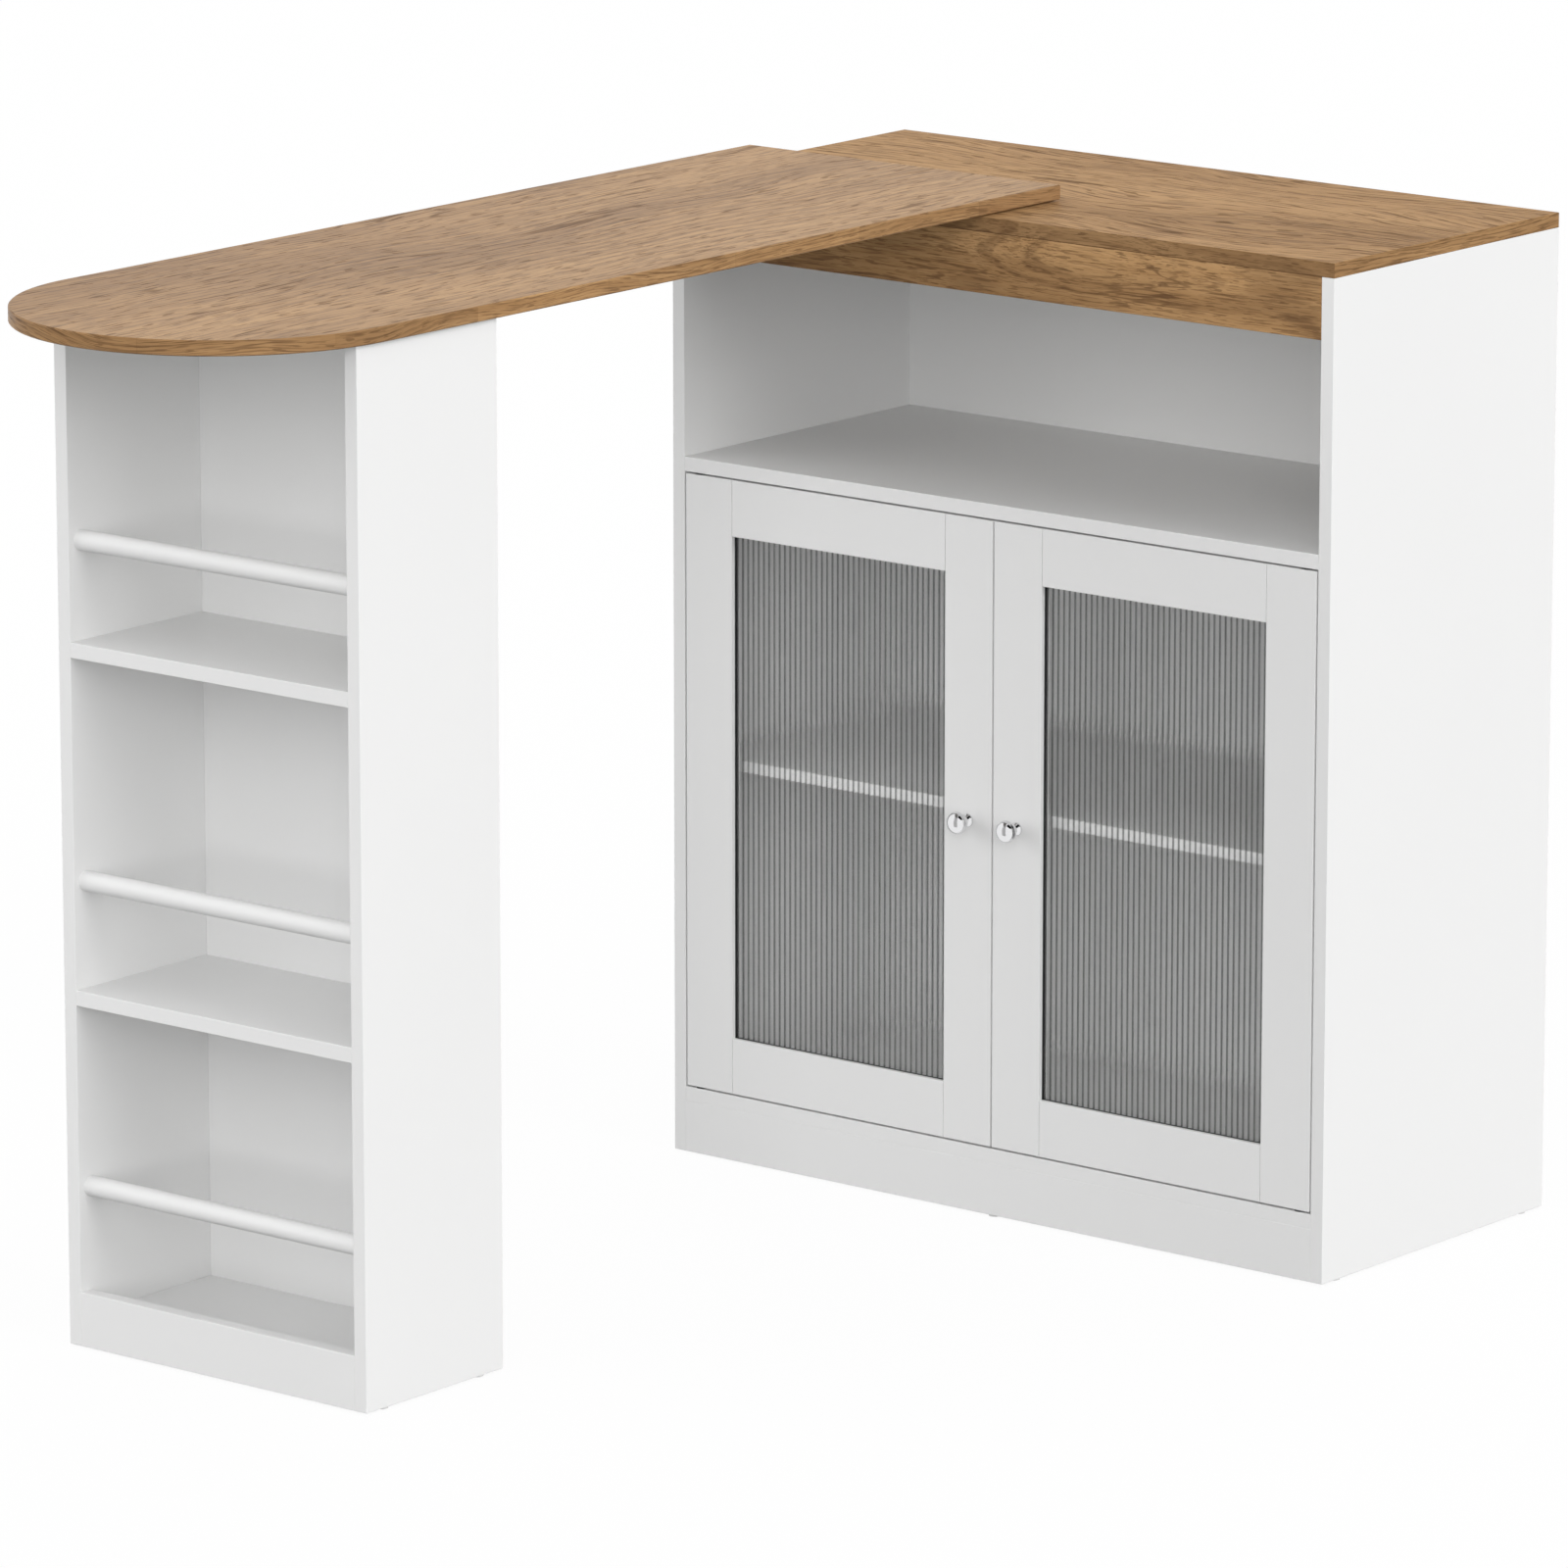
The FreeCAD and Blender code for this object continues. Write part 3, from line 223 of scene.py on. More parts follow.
class ScrewProperties(PropertyGroup):
    """The cross-head screws of the brackets and the knobs."""

    bracket_head: length("Bracket Screw Head", "Head diameter of a bracket screw", 0.007)
    bracket_rise: length("Bracket Screw Rise", "Head height of a bracket screw", 0.002)
    knob_head: length("Knob Screw Head", "Head diameter of a knob screw", 0.008)
    knob_rise: length("Knob Screw Rise", "Head height of a knob screw", 0.0024)


class StageProperties(PropertyGroup):
    """Camera and light."""

    camera: FloatVectorProperty(
        name="Camera", description="Place of the camera", subtype="TRANSLATION", unit="LENGTH",
        default=(5.925, -7.295, 2.659))
    turn: angle("Turn", "Camera's turn about the vertical", 38.973)
    tilt: angle("Tilt", "Camera's tilt below the horizon", 12.862)
    lens: FloatProperty(name="Lens", description="Focal length", unit="CAMERA", default=227.5)
    key: brightness("Key Lamp", "Strength of the lamp on the right", 1.2)
    right_fill: brightness("Right Fill Lamp", "Strength of the lamp in front on the right", 0.95)
    left_fill: brightness("Left Fill Lamp", "Strength of the lamp in front on the left", 0.66)
    back: brightness("Back Lamp", "Strength of the lamp behind", 0.8)
    sky: brightness("Room Light", "Level of the light from all round", 1.04)


class Wires:
    """A node tree, with short ways to add nodes that are linked already."""

    def __init__(self, tree):
        self.tree = tree

    def add(self, kind, inputs=None, **settings):
        """A node with its settings, and its inputs set or linked by name or number."""
        made = self.tree.nodes.new(kind)
        for name, value in settings.items():
            setattr(made, name, value)
        for name, value in (inputs or {}).items():
            if isinstance(value, bpy.types.NodeSocket):
                self.tree.links.new(value, made.inputs[name])
            else:
                made.inputs[name].default_value = value
        return made

    def math(self, operation, first, second=0.0):
        """A number from one or two others."""
        return self.add("ShaderNodeMath", {0: first, 1: second}, operation=operation).outputs[0]

    def plus(self, first, second):
        """The sum of two numbers."""
        return self.math("ADD", first, second)

    def minus(self, first, second):
        """The difference of two numbers."""
        return self.math("SUBTRACT", first, second)

    def times(self, first, second):
        """The product of two numbers."""
        return self.math("MULTIPLY", first, second)

    def parts(self, vector):
        """The three parts of a vector."""
        return self.add("ShaderNodeSeparateXYZ", {0: vector}).outputs

    def joined(self, x=0.0, y=0.0, z=0.0):
        """A vector from its three parts."""
        return self.add("ShaderNodeCombineXYZ", {0: x, 1: y, 2: z}).outputs[0]

    def stretched(self, vector, x, y, z):
        """A vector with its three parts multiplied."""
        return self.toned(vector, (x, y, z))

    def toned(self, first, second):
        """The product of two colours or vectors, part by part; a number counts for all three."""
        return self.add("ShaderNodeVectorMath", {0: first, 1: second}, operation="MULTIPLY").outputs[0]

    def noise(self, vector, detail=2.0, roughness=0.5, scale=1.0):
        """Smooth noise from 0 to 1."""
        return self.add("ShaderNodeTexNoise", {
            "Vector": vector, "Scale": scale, "Detail": detail, "Roughness": roughness}).outputs[0]

    def streaks(self, vector, along, across, detail=2.0, roughness=0.5):
        """Noise with so many lumps to the metre along the grain, and across it."""
        return self.noise(self.stretched(vector, along, across, across), detail, roughness)

    def ease(self, value, low, high, start=0.0, end=1.0):
        """A soft step from start to end, as value goes from low to high."""
        return self.add("ShaderNodeMapRange", {
            "Value": value, "From Min": low, "From Max": high, "To Min": start, "To Max": end,
        }, interpolation_type="SMOOTHSTEP").outputs[0]

    def blend(self, factor, first, second):
        """One colour from two."""
        return self.add("ShaderNodeMix", {0: factor, 6: first, 7: second}, data_type="RGBA").outputs[2]

    def either(self, factor, first, second):
        """The first vector where the factor is 0, and the second where it is 1."""
        return self.add("ShaderNodeMix", {0: factor, 4: first, 5: second}, data_type="VECTOR").outputs[1]

    def bump(self, height, strength, distance):
        """A normal from a height."""
        return self.add(
            "ShaderNodeBump", {"Height": height, "Strength": strength, "Distance": distance}).outputs[0]

    def block(self, size):
        """A block about the origin."""
        return self.add("GeometryNodeMeshCube", {"Size": size}).outputs["Mesh"]

    def moved(self, geometry, offset):
        """A geometry in another place."""
        return self.add("GeometryNodeTransform", {"Geometry": geometry, "Translation": offset}).outputs[0]

    def cut(self, mesh, tool):
        """A mesh with another taken out of it."""
        return self.add("GeometryNodeMeshBoolean", {
            "Mesh 1": mesh, "Mesh 2": tool}, operation="DIFFERENCE").outputs["Mesh"]

    def together(self, *pieces):
        """Several geometries as one."""
        whole = self.add("GeometryNodeJoinGeometry")
        for piece in pieces:
            self.tree.links.new(piece, whole.inputs[0])
        return whole.outputs[0]


def add_sockets(tree, way, sockets):
    """Give a group named sockets, and tell their identifiers."""
    return {
        name: tree.interface.new_socket(name, in_out=way, socket_type="NodeSocket" + kind).identifier
        for name, kind in sockets.items()}


def shader_group(name, inputs, outputs):
    """A shader group with named sockets and nothing in it: its wires and its inputs."""
    tree = bpy.data.node_groups.new(name, "ShaderNodeTree")
    add_sockets(tree, "INPUT", inputs)
    add_sockets(tree, "OUTPUT", outputs)
    wires = Wires(tree)
    return wires, wires.add("NodeGroupInput").outputs


def oak_grain():
    """Oak with its grain along X: streaks, pores, cathedral figure and a few small knots."""
    found = bpy.data.node_groups.get("Oak grain")
    if found:
        return found
    wires, given = shader_group(
        "Oak grain", {"Vector": "Vector", "Light": "Color", "Middle": "Color", "Dark": "Color"},
        {"Color": "Color", "Roughness": "Float", "Height": "Float"})
    place = given["Vector"]

    # The grain sways, and bends round the knots
    knot = wires.add("ShaderNodeTexVoronoi", {
        "Vector": wires.stretched(place, 3.1, 9.0, 9.0), "Scale": 1.0, "Randomness": 1.0}).outputs["Distance"]
    sway = wires.times(wires.minus(wires.streaks(place, 2.6, 9.0), 0.5), 0.034)
    parts = wires.parts(place)
    across = wires.plus(wires.plus(parts[1], sway), wires.ease(knot, 0.05, 0.5, 0.016, 0.0))
    flow = wires.joined(parts[0], across, parts[2])

    # Broad zones, fine streaks, broken lines, pores, flecks and a few cracks
    broad = wires.streaks(flow, 1.4, 13.0, 3.0, 0.55)
    streak = wires.streaks(flow, 3.2, 150.0, 6.0, 0.70)
    wander = wires.times(wires.streaks(flow, 4.0, 70.0, 2.0, 0.6), 15.0)
    lines = wires.math("SINE", wires.plus(wires.times(across, 1500.0), wander))
    broken = wires.ease(wires.streaks(flow, 17.0, 230.0, 3.0, 0.65), 0.43, 0.58)
    dash = wires.times(wires.ease(lines, 0.35, 0.95), broken)
    pore = wires.ease(wires.streaks(flow, 40.0, 540.0, 1.0, 0.5), 0.610, 0.645)
    fleck = wires.ease(wires.streaks(flow, 30.0, 820.0, 1.0, 0.6), 0.55, 0.61)
    vein = wires.math("ABSOLUTE", wires.minus(wires.streaks(flow, 2.4, 46.0, 2.0, 0.6), 0.5))
    sparse = wires.ease(wires.streaks(place, 7.0, 31.0, 1.0), 0.50, 0.60)
    crack = wires.times(wires.ease(vein, 0.014, 0.003), sparse)

    # Cathedral figure: rings round a heart that runs through the board at a slope
    slope = wires.plus(wires.times(parts[0], 0.11), 0.012)
    heart = wires.math("SQRT", wires.plus(wires.times(across, across), wires.times(slope, slope)))
    rings = wires.ease(wires.math("SINE", wires.times(heart, 900.0)), 0.1, 1.0)
    figured = wires.ease(wires.streaks(place, 2.0, 5.0, 1.0), 0.48, 0.62)

    tone = wires.plus(wires.times(streak, 0.65), wires.times(broad, 0.35))
    tint = wires.blend(wires.ease(tone, 0.34, 0.68), given["Middle"], given["Light"])
    zone_shade = wires.ease(broad, 0.54, 0.36, 0.0, 0.20)
    dash_shade = wires.times(dash, wires.ease(broad, 0.60, 0.38, 0.30, 0.66))
    figure_shade = wires.times(wires.times(rings, figured), 0.34)
    fleck_shade = wires.times(fleck, 0.42)
    pore_shade = wires.times(pore, 0.56)
    crack_shade = wires.times(crack, 0.60)
    knot_shade = wires.ease(knot, 0.055, 0.025, 0.0, 0.85)
    for shade in (zone_shade, dash_shade, figure_shade, fleck_shade, pore_shade, crack_shade, knot_shade):
        tint = wires.blend(shade, tint, given["Dark"])

    sunk = wires.math("MAXIMUM", pore, crack)
    wires.add("NodeGroupOutput", {
        "Color": tint, "Roughness": wires.plus(wires.times(sunk, 0.16), wires.times(streak, 0.10)),
        "Height": wires.minus(wires.times(streak, 0.5), sunk)})
    return wires.tree


def fine_surface():
    """Fine bumps and faint cloudiness, as boards, plastic and rubber have.

    The tone lies about 1 and the roughness about 0.
    """
    found = bpy.data.node_groups.get("Fine surface")
    if found:
        return found
    wires, given = shader_group(
        "Fine surface", {"Vector": "Vector", "Grain Size": "Float", "Cloud Size": "Float", "Cloud": "Float"},
        {"Tone": "Float", "Roughness": "Float", "Height": "Float"})

    def lumps(size, detail):
        return wires.noise(given["Vector"], detail, scale=wires.math("DIVIDE", 1.0, size))

    grain = lumps(given["Grain Size"], 1.0)
    uneven = wires.minus(lumps(given["Cloud Size"], 3.0), 0.5)
    rough_clouds = wires.times(uneven, 0.12)
    rough_grain = wires.times(wires.minus(grain, 0.5), 0.10)
    wires.add("NodeGroupOutput", {
        "Tone": wires.plus(1.0, wires.times(uneven, given["Cloud"])),
        "Roughness": wires.plus(rough_clouds, rough_grain), "Height": grain})
    return wires.tree


def new_material(name):
    """A material with no nodes yet, and its wires."""
    material = bpy.data.materials.new(name)
    material.use_nodes = True
    material.node_tree.nodes.clear()
    return material, Wires(material.node_tree)


def show(wires, shader):
    """Put a shader out as the material's surface."""
    wires.add("ShaderNodeOutputMaterial", {"Surface": shader.outputs[0]})


def board_grain(wires):
    """Where a point of a CAD board lies in the grain, and the way it faces.

    The grain runs along X, and at the board's ends along Y.
    """
    where = wires.add("ShaderNodeTexCoord").outputs
    spot = wires.parts(where["Object"])
    facing = wires.parts(where["Normal"])
    at_end = wires.math("GREATER_THAN", wires.math("ABSOLUTE", facing[0]), TURNED)
    upper = wires.math("GREATER_THAN", wires.math("ABSOLUTE", facing[2]), TURNED)
    lying = wires.either(upper, where["Object"], wires.stretched(where["Object"], *TOP_GRAIN))
    return wires.either(at_end, lying, wires.joined(spot[1], spot[2], END_GRAIN)), facing


def band_shade(wires, place, band_length):
    """How much darker each piece of the tabletop's edge band is, and the seams between them."""
    parts = wires.parts(place)
    band = wires.math("GREATER_THAN", parts[1], BAND_START)
    run = wires.math("DIVIDE", parts[0], band_length)
    number = wires.plus(wires.math("FLOOR", run), BAND_SEED)
    chance = wires.add("ShaderNodeTexWhiteNoise", {"W": number}, noise_dimensions="1D").outputs["Value"]
    shade = wires.ease(chance, 0.0, 1.0, *BAND_SHADES)
    seam = wires.ease(wires.math("FRACT", run), SEAM_WIDTH, 0.0, 0.0, SEAM_SHADE)
    return wires.times(wires.math("MAXIMUM", shade, seam), band)


def oak_material(name, mapped=False, front_shade=0.0, joint=1, tone=1.0, specular=0.05, smoother=0.0):
    """Oak laminate that follows the piece's grain map, or lies along a CAD board.

    A board's front is made darker, and its eased edge at the joint above (1) or below (-1) it gets painted
    shade.
    Its underside is backing paper.
    """
    oak = bpy.context.scene.bar_table_oak
    material, wires = new_material(name)
    if mapped:
        place = wires.add("ShaderNodeUVMap", uv_map="Grain").outputs[0]
        shade = band_shade(wires, place, oak.band_length)
    else:
        place, facing = board_grain(wires)
        rise = wires.times(facing[2], joint)
        # painted shade: the eased edge where two boards meet is darkened, standing in for the shadow in the
        # gap between them
        shaded_joint_edge = wires.times(wires.math("GREATER_THAN", rise, LEANING), wires.math("LESS_THAN", rise, SQUARE))
        front = wires.times(wires.math("LESS_THAN", facing[1], -TURNED), front_shade)
        shade = wires.math("MAXIMUM", front, wires.times(shaded_joint_edge, JOINT_PAINTED_SHADE))
    tints = {"Light": oak.light, "Middle": oak.middle, "Dark": oak.dark}
    toned = {socket: (*(part * tone for part in tint[:3]), 1) for socket, tint in tints.items()}
    grain = wires.add("ShaderNodeGroup", {"Vector": place, **toned}, node_tree=oak_grain()).outputs
    tint = wires.blend(shade, grain["Color"], oak.dark)
    if not mapped:
        under = wires.math("LESS_THAN", facing[2], -SQUARE)
        tint = wires.blend(wires.times(under, PAPER_COVER), tint, oak.backing)
    show(wires, wires.add("ShaderNodeBsdfPrincipled", {
        "Base Color": tint, "Specular IOR Level": specular,
        "Roughness": wires.plus(grain["Roughness"], oak.gloss - smoother - GRAIN_ROUGHNESS),
        "Normal": wires.bump(grain["Height"], 0.35, OAK_RELIEF)}))
    return material


def fine_nodes(wires, grain_size, cloud_size, cloud, stretch=(1, 1, 1)):
    """The outputs of a fine surface that lies along the piece."""
    where = wires.add("ShaderNodeTexCoord").outputs["Object"]
    return wires.add("ShaderNodeGroup", {
        "Vector": wires.stretched(where, *stretch), "Grain Size": grain_size, "Cloud Size": cloud_size,
        "Cloud": cloud}, node_tree=fine_surface()).outputs


def fine_material(
        name, tint, roughness, grain_size, cloud_size, cloud, bump, metallic=0.0, stretch=(1, 1, 1)):
    """A plain finish with its own fine surface."""
    material, wires = new_material(name)
    fine = fine_nodes(wires, grain_size, cloud_size, cloud, stretch)
    show(wires, wires.add("ShaderNodeBsdfPrincipled", {
        "Base Color": wires.toned(tint[:3], fine["Tone"]), "Metallic": metallic,
        "Roughness": wires.plus(fine["Roughness"], roughness),
        "Normal": wires.bump(fine["Height"], bump, FINE_RELIEF)}))
    return material


def glass_material():
    """Clear reeded glass that lets light through to the shelves, with painted shade on the lines between its
    reeds.
    """
    glass = bpy.context.scene.bar_table_glass
    material, wires = new_material("Reeded glass")
    fine = fine_nodes(wires, grain_size=0.004, cloud_size=0.09, cloud=0.05)
    from_crest = wires.add("ShaderNodeAttribute", attribute_name="from_crest").outputs["Fac"]
    # painted shade: the tint darkens between two reeds, standing in for the dark lines that refraction makes
    # there
    cloud_and_valley_shade = wires.times(fine["Tone"], wires.ease(from_crest, *PAINTED_VALLEY_SPAN, 1.0, glass.valley_shade))
    surface = wires.add("ShaderNodeBsdfPrincipled", {
        "Base Color": wires.toned(glass.tint[:3], cloud_and_valley_shade), "Transmission Weight": 1.0, "IOR": 1.5,
        "Roughness": wires.plus(fine["Roughness"], 0.02),
        "Normal": wires.bump(fine["Height"], 0.05, GLASS_RELIEF)})
    clear = wires.add("ShaderNodeBsdfTransparent", {"Color": (0.95, 0.952, 0.951, 1)})
    shadow = wires.add("ShaderNodeLightPath").outputs["Is Shadow Ray"]
    show(wires, wires.add("ShaderNodeMixShader", {0: shadow, 1: surface.outputs[0], 2: clear.outputs[0]}))
    return material


def finish_nodes(slot, material):
    """Give a finish to every CAD node of one of the record's material slots."""
    for part in frame["record"]["subparts"]:
        if part["material_slot"] == slot:
            finish_node(part["node"], material)


def finish_node(node, material):
    """Give a finish to a CAD node."""
    for shown in NODES[node].material_slots:
        shown.material = material


def new_piece(name, mesh, body, replaced, material):
    """A finished piece that rides on a body and stands for CAD nodes."""
    piece = bpy.data.objects.new(name, mesh)
    bpy.context.scene.collection.objects.link(piece)
    mesh.materials.clear()
    mesh.materials.append(material)
    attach(piece, body)
    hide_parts(*replaced)
    return piece


def smooth(mesh, crease):
    """Shade a mesh smooth up to a crease angle."""
    mesh.shade_smooth()
    mesh.set_sharp_from_angle(angle=math.radians(crease))


def welded_copy(node, name):
    """A CAD board's mesh with its triangles joined, shaded smooth between its edges."""
    mesh = bpy.data.meshes.new(name)
    work = bmesh.new()
    work.from_mesh(NODES[node].data)
    bmesh.ops.remove_doubles(work, verts=work.verts, dist=WELD)
    work.to_mesh(mesh)
    work.free()
    for attribute in ("custom_normal", "sharp_edge", "sharp_face"):
        if attribute in mesh.attributes:
            mesh.attributes.remove(mesh.attributes[attribute])
    smooth(mesh, BOARD_CREASE)
    return mesh


def geometry_tree(name, inputs):
    """A geometry tree with named inputs: its wires, its inputs, and the sockets' identifiers."""
    tree = bpy.data.node_groups.new(name, "GeometryNodeTree")
    identifiers = add_sockets(tree, "INPUT", {"Geometry": "Geometry", **inputs})
    add_sockets(tree, "OUTPUT", {"Geometry": "Geometry"})
    wires = Wires(tree)
    return wires, wires.add("NodeGroupInput").outputs, identifiers


def close_tree(wires, geometry, material):
    """Make the tree's result real, give it its material and put it out."""
    real = wires.add("GeometryNodeRealizeInstances", {"Geometry": geometry}).outputs[0]
    dressed = wires.add("GeometryNodeSetMaterial", {"Geometry": real, "Material": material}).outputs[0]
    wires.add("NodeGroupOutput", {"Geometry": dressed})


def grown(name, tree, identifiers, values, seed_mesh=None):
    """The plain mesh that a geometry tree makes from its inputs."""
    source = bpy.data.objects.new(name + "_source", seed_mesh or bpy.data.meshes.new(name + "_seed"))
    bpy.context.scene.collection.objects.link(source)
    modifier = source.modifiers.new("Grow", "NODES")
    modifier.node_group = tree
    for socket, value in values.items():
        modifier[identifiers[socket]] = value
    graph = bpy.context.evaluated_depsgraph_get()
    mesh = bpy.data.meshes.new_from_object(
        source.evaluated_get(graph), preserve_all_data_layers=True, depsgraph=graph)
    mesh.name = name
    source.modifiers.remove(modifier)
    bpy.data.objects.remove(source)
    if not mesh.polygons:
        raise RuntimeError(f"{name} has no faces")
    return mesh


def reeded_pane_tree():
    """A pane with a row of rounded reeds in front and a flat back.

    Its attribute from_crest goes from 0 on a reed's crest, and on the back, to 1 between two reeds.
    """
    wires, given, identifiers = geometry_tree("Reeded pane", {
        "Reeds": "Int", "Steps": "Int", "Pitch": "Float", "Reed Height": "Float", "Height": "Float",
        "Thickness": "Float", "Middle": "Vector", "Crease": "Float", "Material": "Material"})
    columns = wires.plus(wires.times(given["Reeds"], given["Steps"]), 1.0)
    width = wires.times(given["Reeds"], given["Pitch"])
    grid = wires.add("GeometryNodeMeshGrid", {
        "Size X": width, "Size Y": given["Height"], "Vertices X": columns, "Vertices Y": 2}).outputs["Mesh"]
    spot = wires.parts(wires.add("GeometryNodeInputPosition").outputs[0])
    along = wires.math("DIVIDE", wires.plus(spot[0], wires.times(width, 0.5)), given["Pitch"])
    from_crest = wires.times(wires.minus(wires.math("FRACT", along), 0.5), 2.0)
    depth = wires.times(wires.times(from_crest, from_crest), given["Reed Height"])
    marked = wires.add("GeometryNodeStoreNamedAttribute", {
        "Geometry": grid, "Name": "from_crest", "Value": wires.math("ABSOLUTE", from_crest)}).outputs[0]
    front = wires.add("GeometryNodeSetPosition", {
        "Geometry": marked, "Position": wires.joined(spot[0], depth, spot[1])}).outputs[0]
    pulled = wires.add("GeometryNodeExtrudeMesh", {
        "Mesh": front, "Offset": (0, 1, 0), "Offset Scale": given["Thickness"], "Individual": False,
    }, mode="FACES").outputs
    behind = wires.parts(wires.add("GeometryNodeInputPosition").outputs[0])
    back = wires.add("GeometryNodeSetPosition", {
        "Geometry": pulled["Mesh"], "Selection": pulled["Top"],
        "Position": wires.joined(behind[0], given["Thickness"], behind[2])}).outputs[0]
    plain = wires.add("GeometryNodeStoreNamedAttribute", {
        "Geometry": back, "Selection": pulled["Top"], "Name": "from_crest", "Value": 0.0}).outputs[0]
    turned = wires.add("GeometryNodeFlipFaces", {"Mesh": plain}).outputs[0]
    closed = wires.add("GeometryNodeMergeByDistance", {
        "Geometry": wires.together(turned, front), "Distance": WELD}).outputs[0]
    bend = wires.add("GeometryNodeInputMeshEdgeAngle").outputs["Unsigned Angle"]
    soft = wires.add("FunctionNodeCompare", {0: bend, 1: given["Crease"]}, operation="LESS_THAN").outputs[0]
    shaded = wires.add("GeometryNodeSetShadeSmooth", {
        "Geometry": closed, "Shade Smooth": soft}, domain="EDGE").outputs[0]
    close_tree(wires, wires.moved(shaded, given["Middle"]), given["Material"])
    return wires.tree, identifiers


def screw_tree():
    """Cross-head screws on the points of a mesh, each facing the way that its point says."""
    wires, given, identifiers = geometry_tree("Cross-head screws", {
        "Head": "Float", "Rise": "Float", "Shank": "Float", "Bite": "Float", "Material": "Material"})
    radius = wires.times(given["Head"], 0.5)
    ball = wires.add("GeometryNodeMeshUVSphere", {
        "Segments": HEAD_SEGMENTS, "Rings": HEAD_RINGS, "Radius": radius}).outputs["Mesh"]
    dome = wires.add("GeometryNodeTransform", {
        "Geometry": ball,
        "Scale": wires.joined(1.0, 1.0, wires.math("DIVIDE", given["Rise"], radius))}).outputs[0]
    size = wires.joined(given["Head"], given["Head"], given["Rise"])
    under = wires.moved(
        wires.block(wires.stretched(size, *UNDERSIDE)), wires.joined(z=wires.times(given["Rise"], -0.5)))
    head = wires.cut(dome, under)
    for across in SLOTS:
        slot = wires.block(wires.stretched(size, *across))
        head = wires.cut(head, wires.moved(slot, wires.joined(z=given["Rise"])))
    shank = wires.add("GeometryNodeMeshCylinder", {
        "Vertices": SHANK_SIDES, "Radius": wires.times(given["Shank"], 0.5),
        "Depth": given["Bite"]}).outputs["Mesh"]
    bolt = wires.moved(shank, wires.joined(z=wires.times(given["Bite"], -0.5)))
    facing = wires.add(
        "GeometryNodeInputNamedAttribute", {"Name": "facing"}, data_type="FLOAT_VECTOR").outputs[0]
    turn = wires.add("FunctionNodeAlignRotationToVector", {"Vector": facing}, axis="Z").outputs[0]
    copies = wires.add("GeometryNodeInstanceOnPoints", {
        "Points": given["Geometry"], "Instance": wires.together(head, bolt), "Rotation": turn}).outputs[0]
    close_tree(wires, copies, given["Material"])
    return wires.tree, identifiers


def screw_points(name, seats):
    """A mesh of bare points, each with the way that its screw faces."""
    mesh = bpy.data.meshes.new(name)
    mesh.from_pydata([place for place, _ in seats], [], [])
    facing = mesh.attributes.new("facing", "FLOAT_VECTOR", "POINT")
    for number, (_, out) in enumerate(seats):
        facing.data[number].vector = out
    return mesh


class BARTABLE_OT_white_boards(Operator):
    """Finish the cabinet's, the doors' and the tower's white boards"""

    bl_idname = "bar_table.white_boards"
    bl_label = "White Boards"

    def execute(self, context):
        melamine = context.scene.bar_table_melamine
        finish_nodes("white_melamine", fine_material(
            "White melamine", melamine.white, melamine.gloss, grain_size=melamine.pearl,
            cloud_size=0.35, cloud=0.035, bump=0.10))
        return {"FINISHED"}


class BARTABLE_OT_oak_boards(Operator):
    """Finish the fixed top and the apron in oak"""

    bl_idname = "bar_table.oak_boards"
    bl_label = "Oak Boards"

    def execute(self, context):
        # painted light: the apron's oak is made lighter than the tops', to make up for the light that its
        # front face gets
        finish_nodes("oak_laminate", oak_material("Oak apron", joint=1, tone=1.07, specular=0.03))
        finish_node("cabinet_top", oak_material("Oak fixed top", front_shade=0.44, joint=-1, specular=0.02))
        return {"FINISHED"}


class BARTABLE_OT_fittings(Operator):
    """Finish the metal, plastic, rubber and beech fittings"""

    bl_idname = "bar_table.fittings"
    bl_label = "Fittings"

    def execute(self, context):
        for slot, finish in FITTINGS.items():
            finish_nodes(slot, fine_material(**finish))
        return {"FINISHED"}


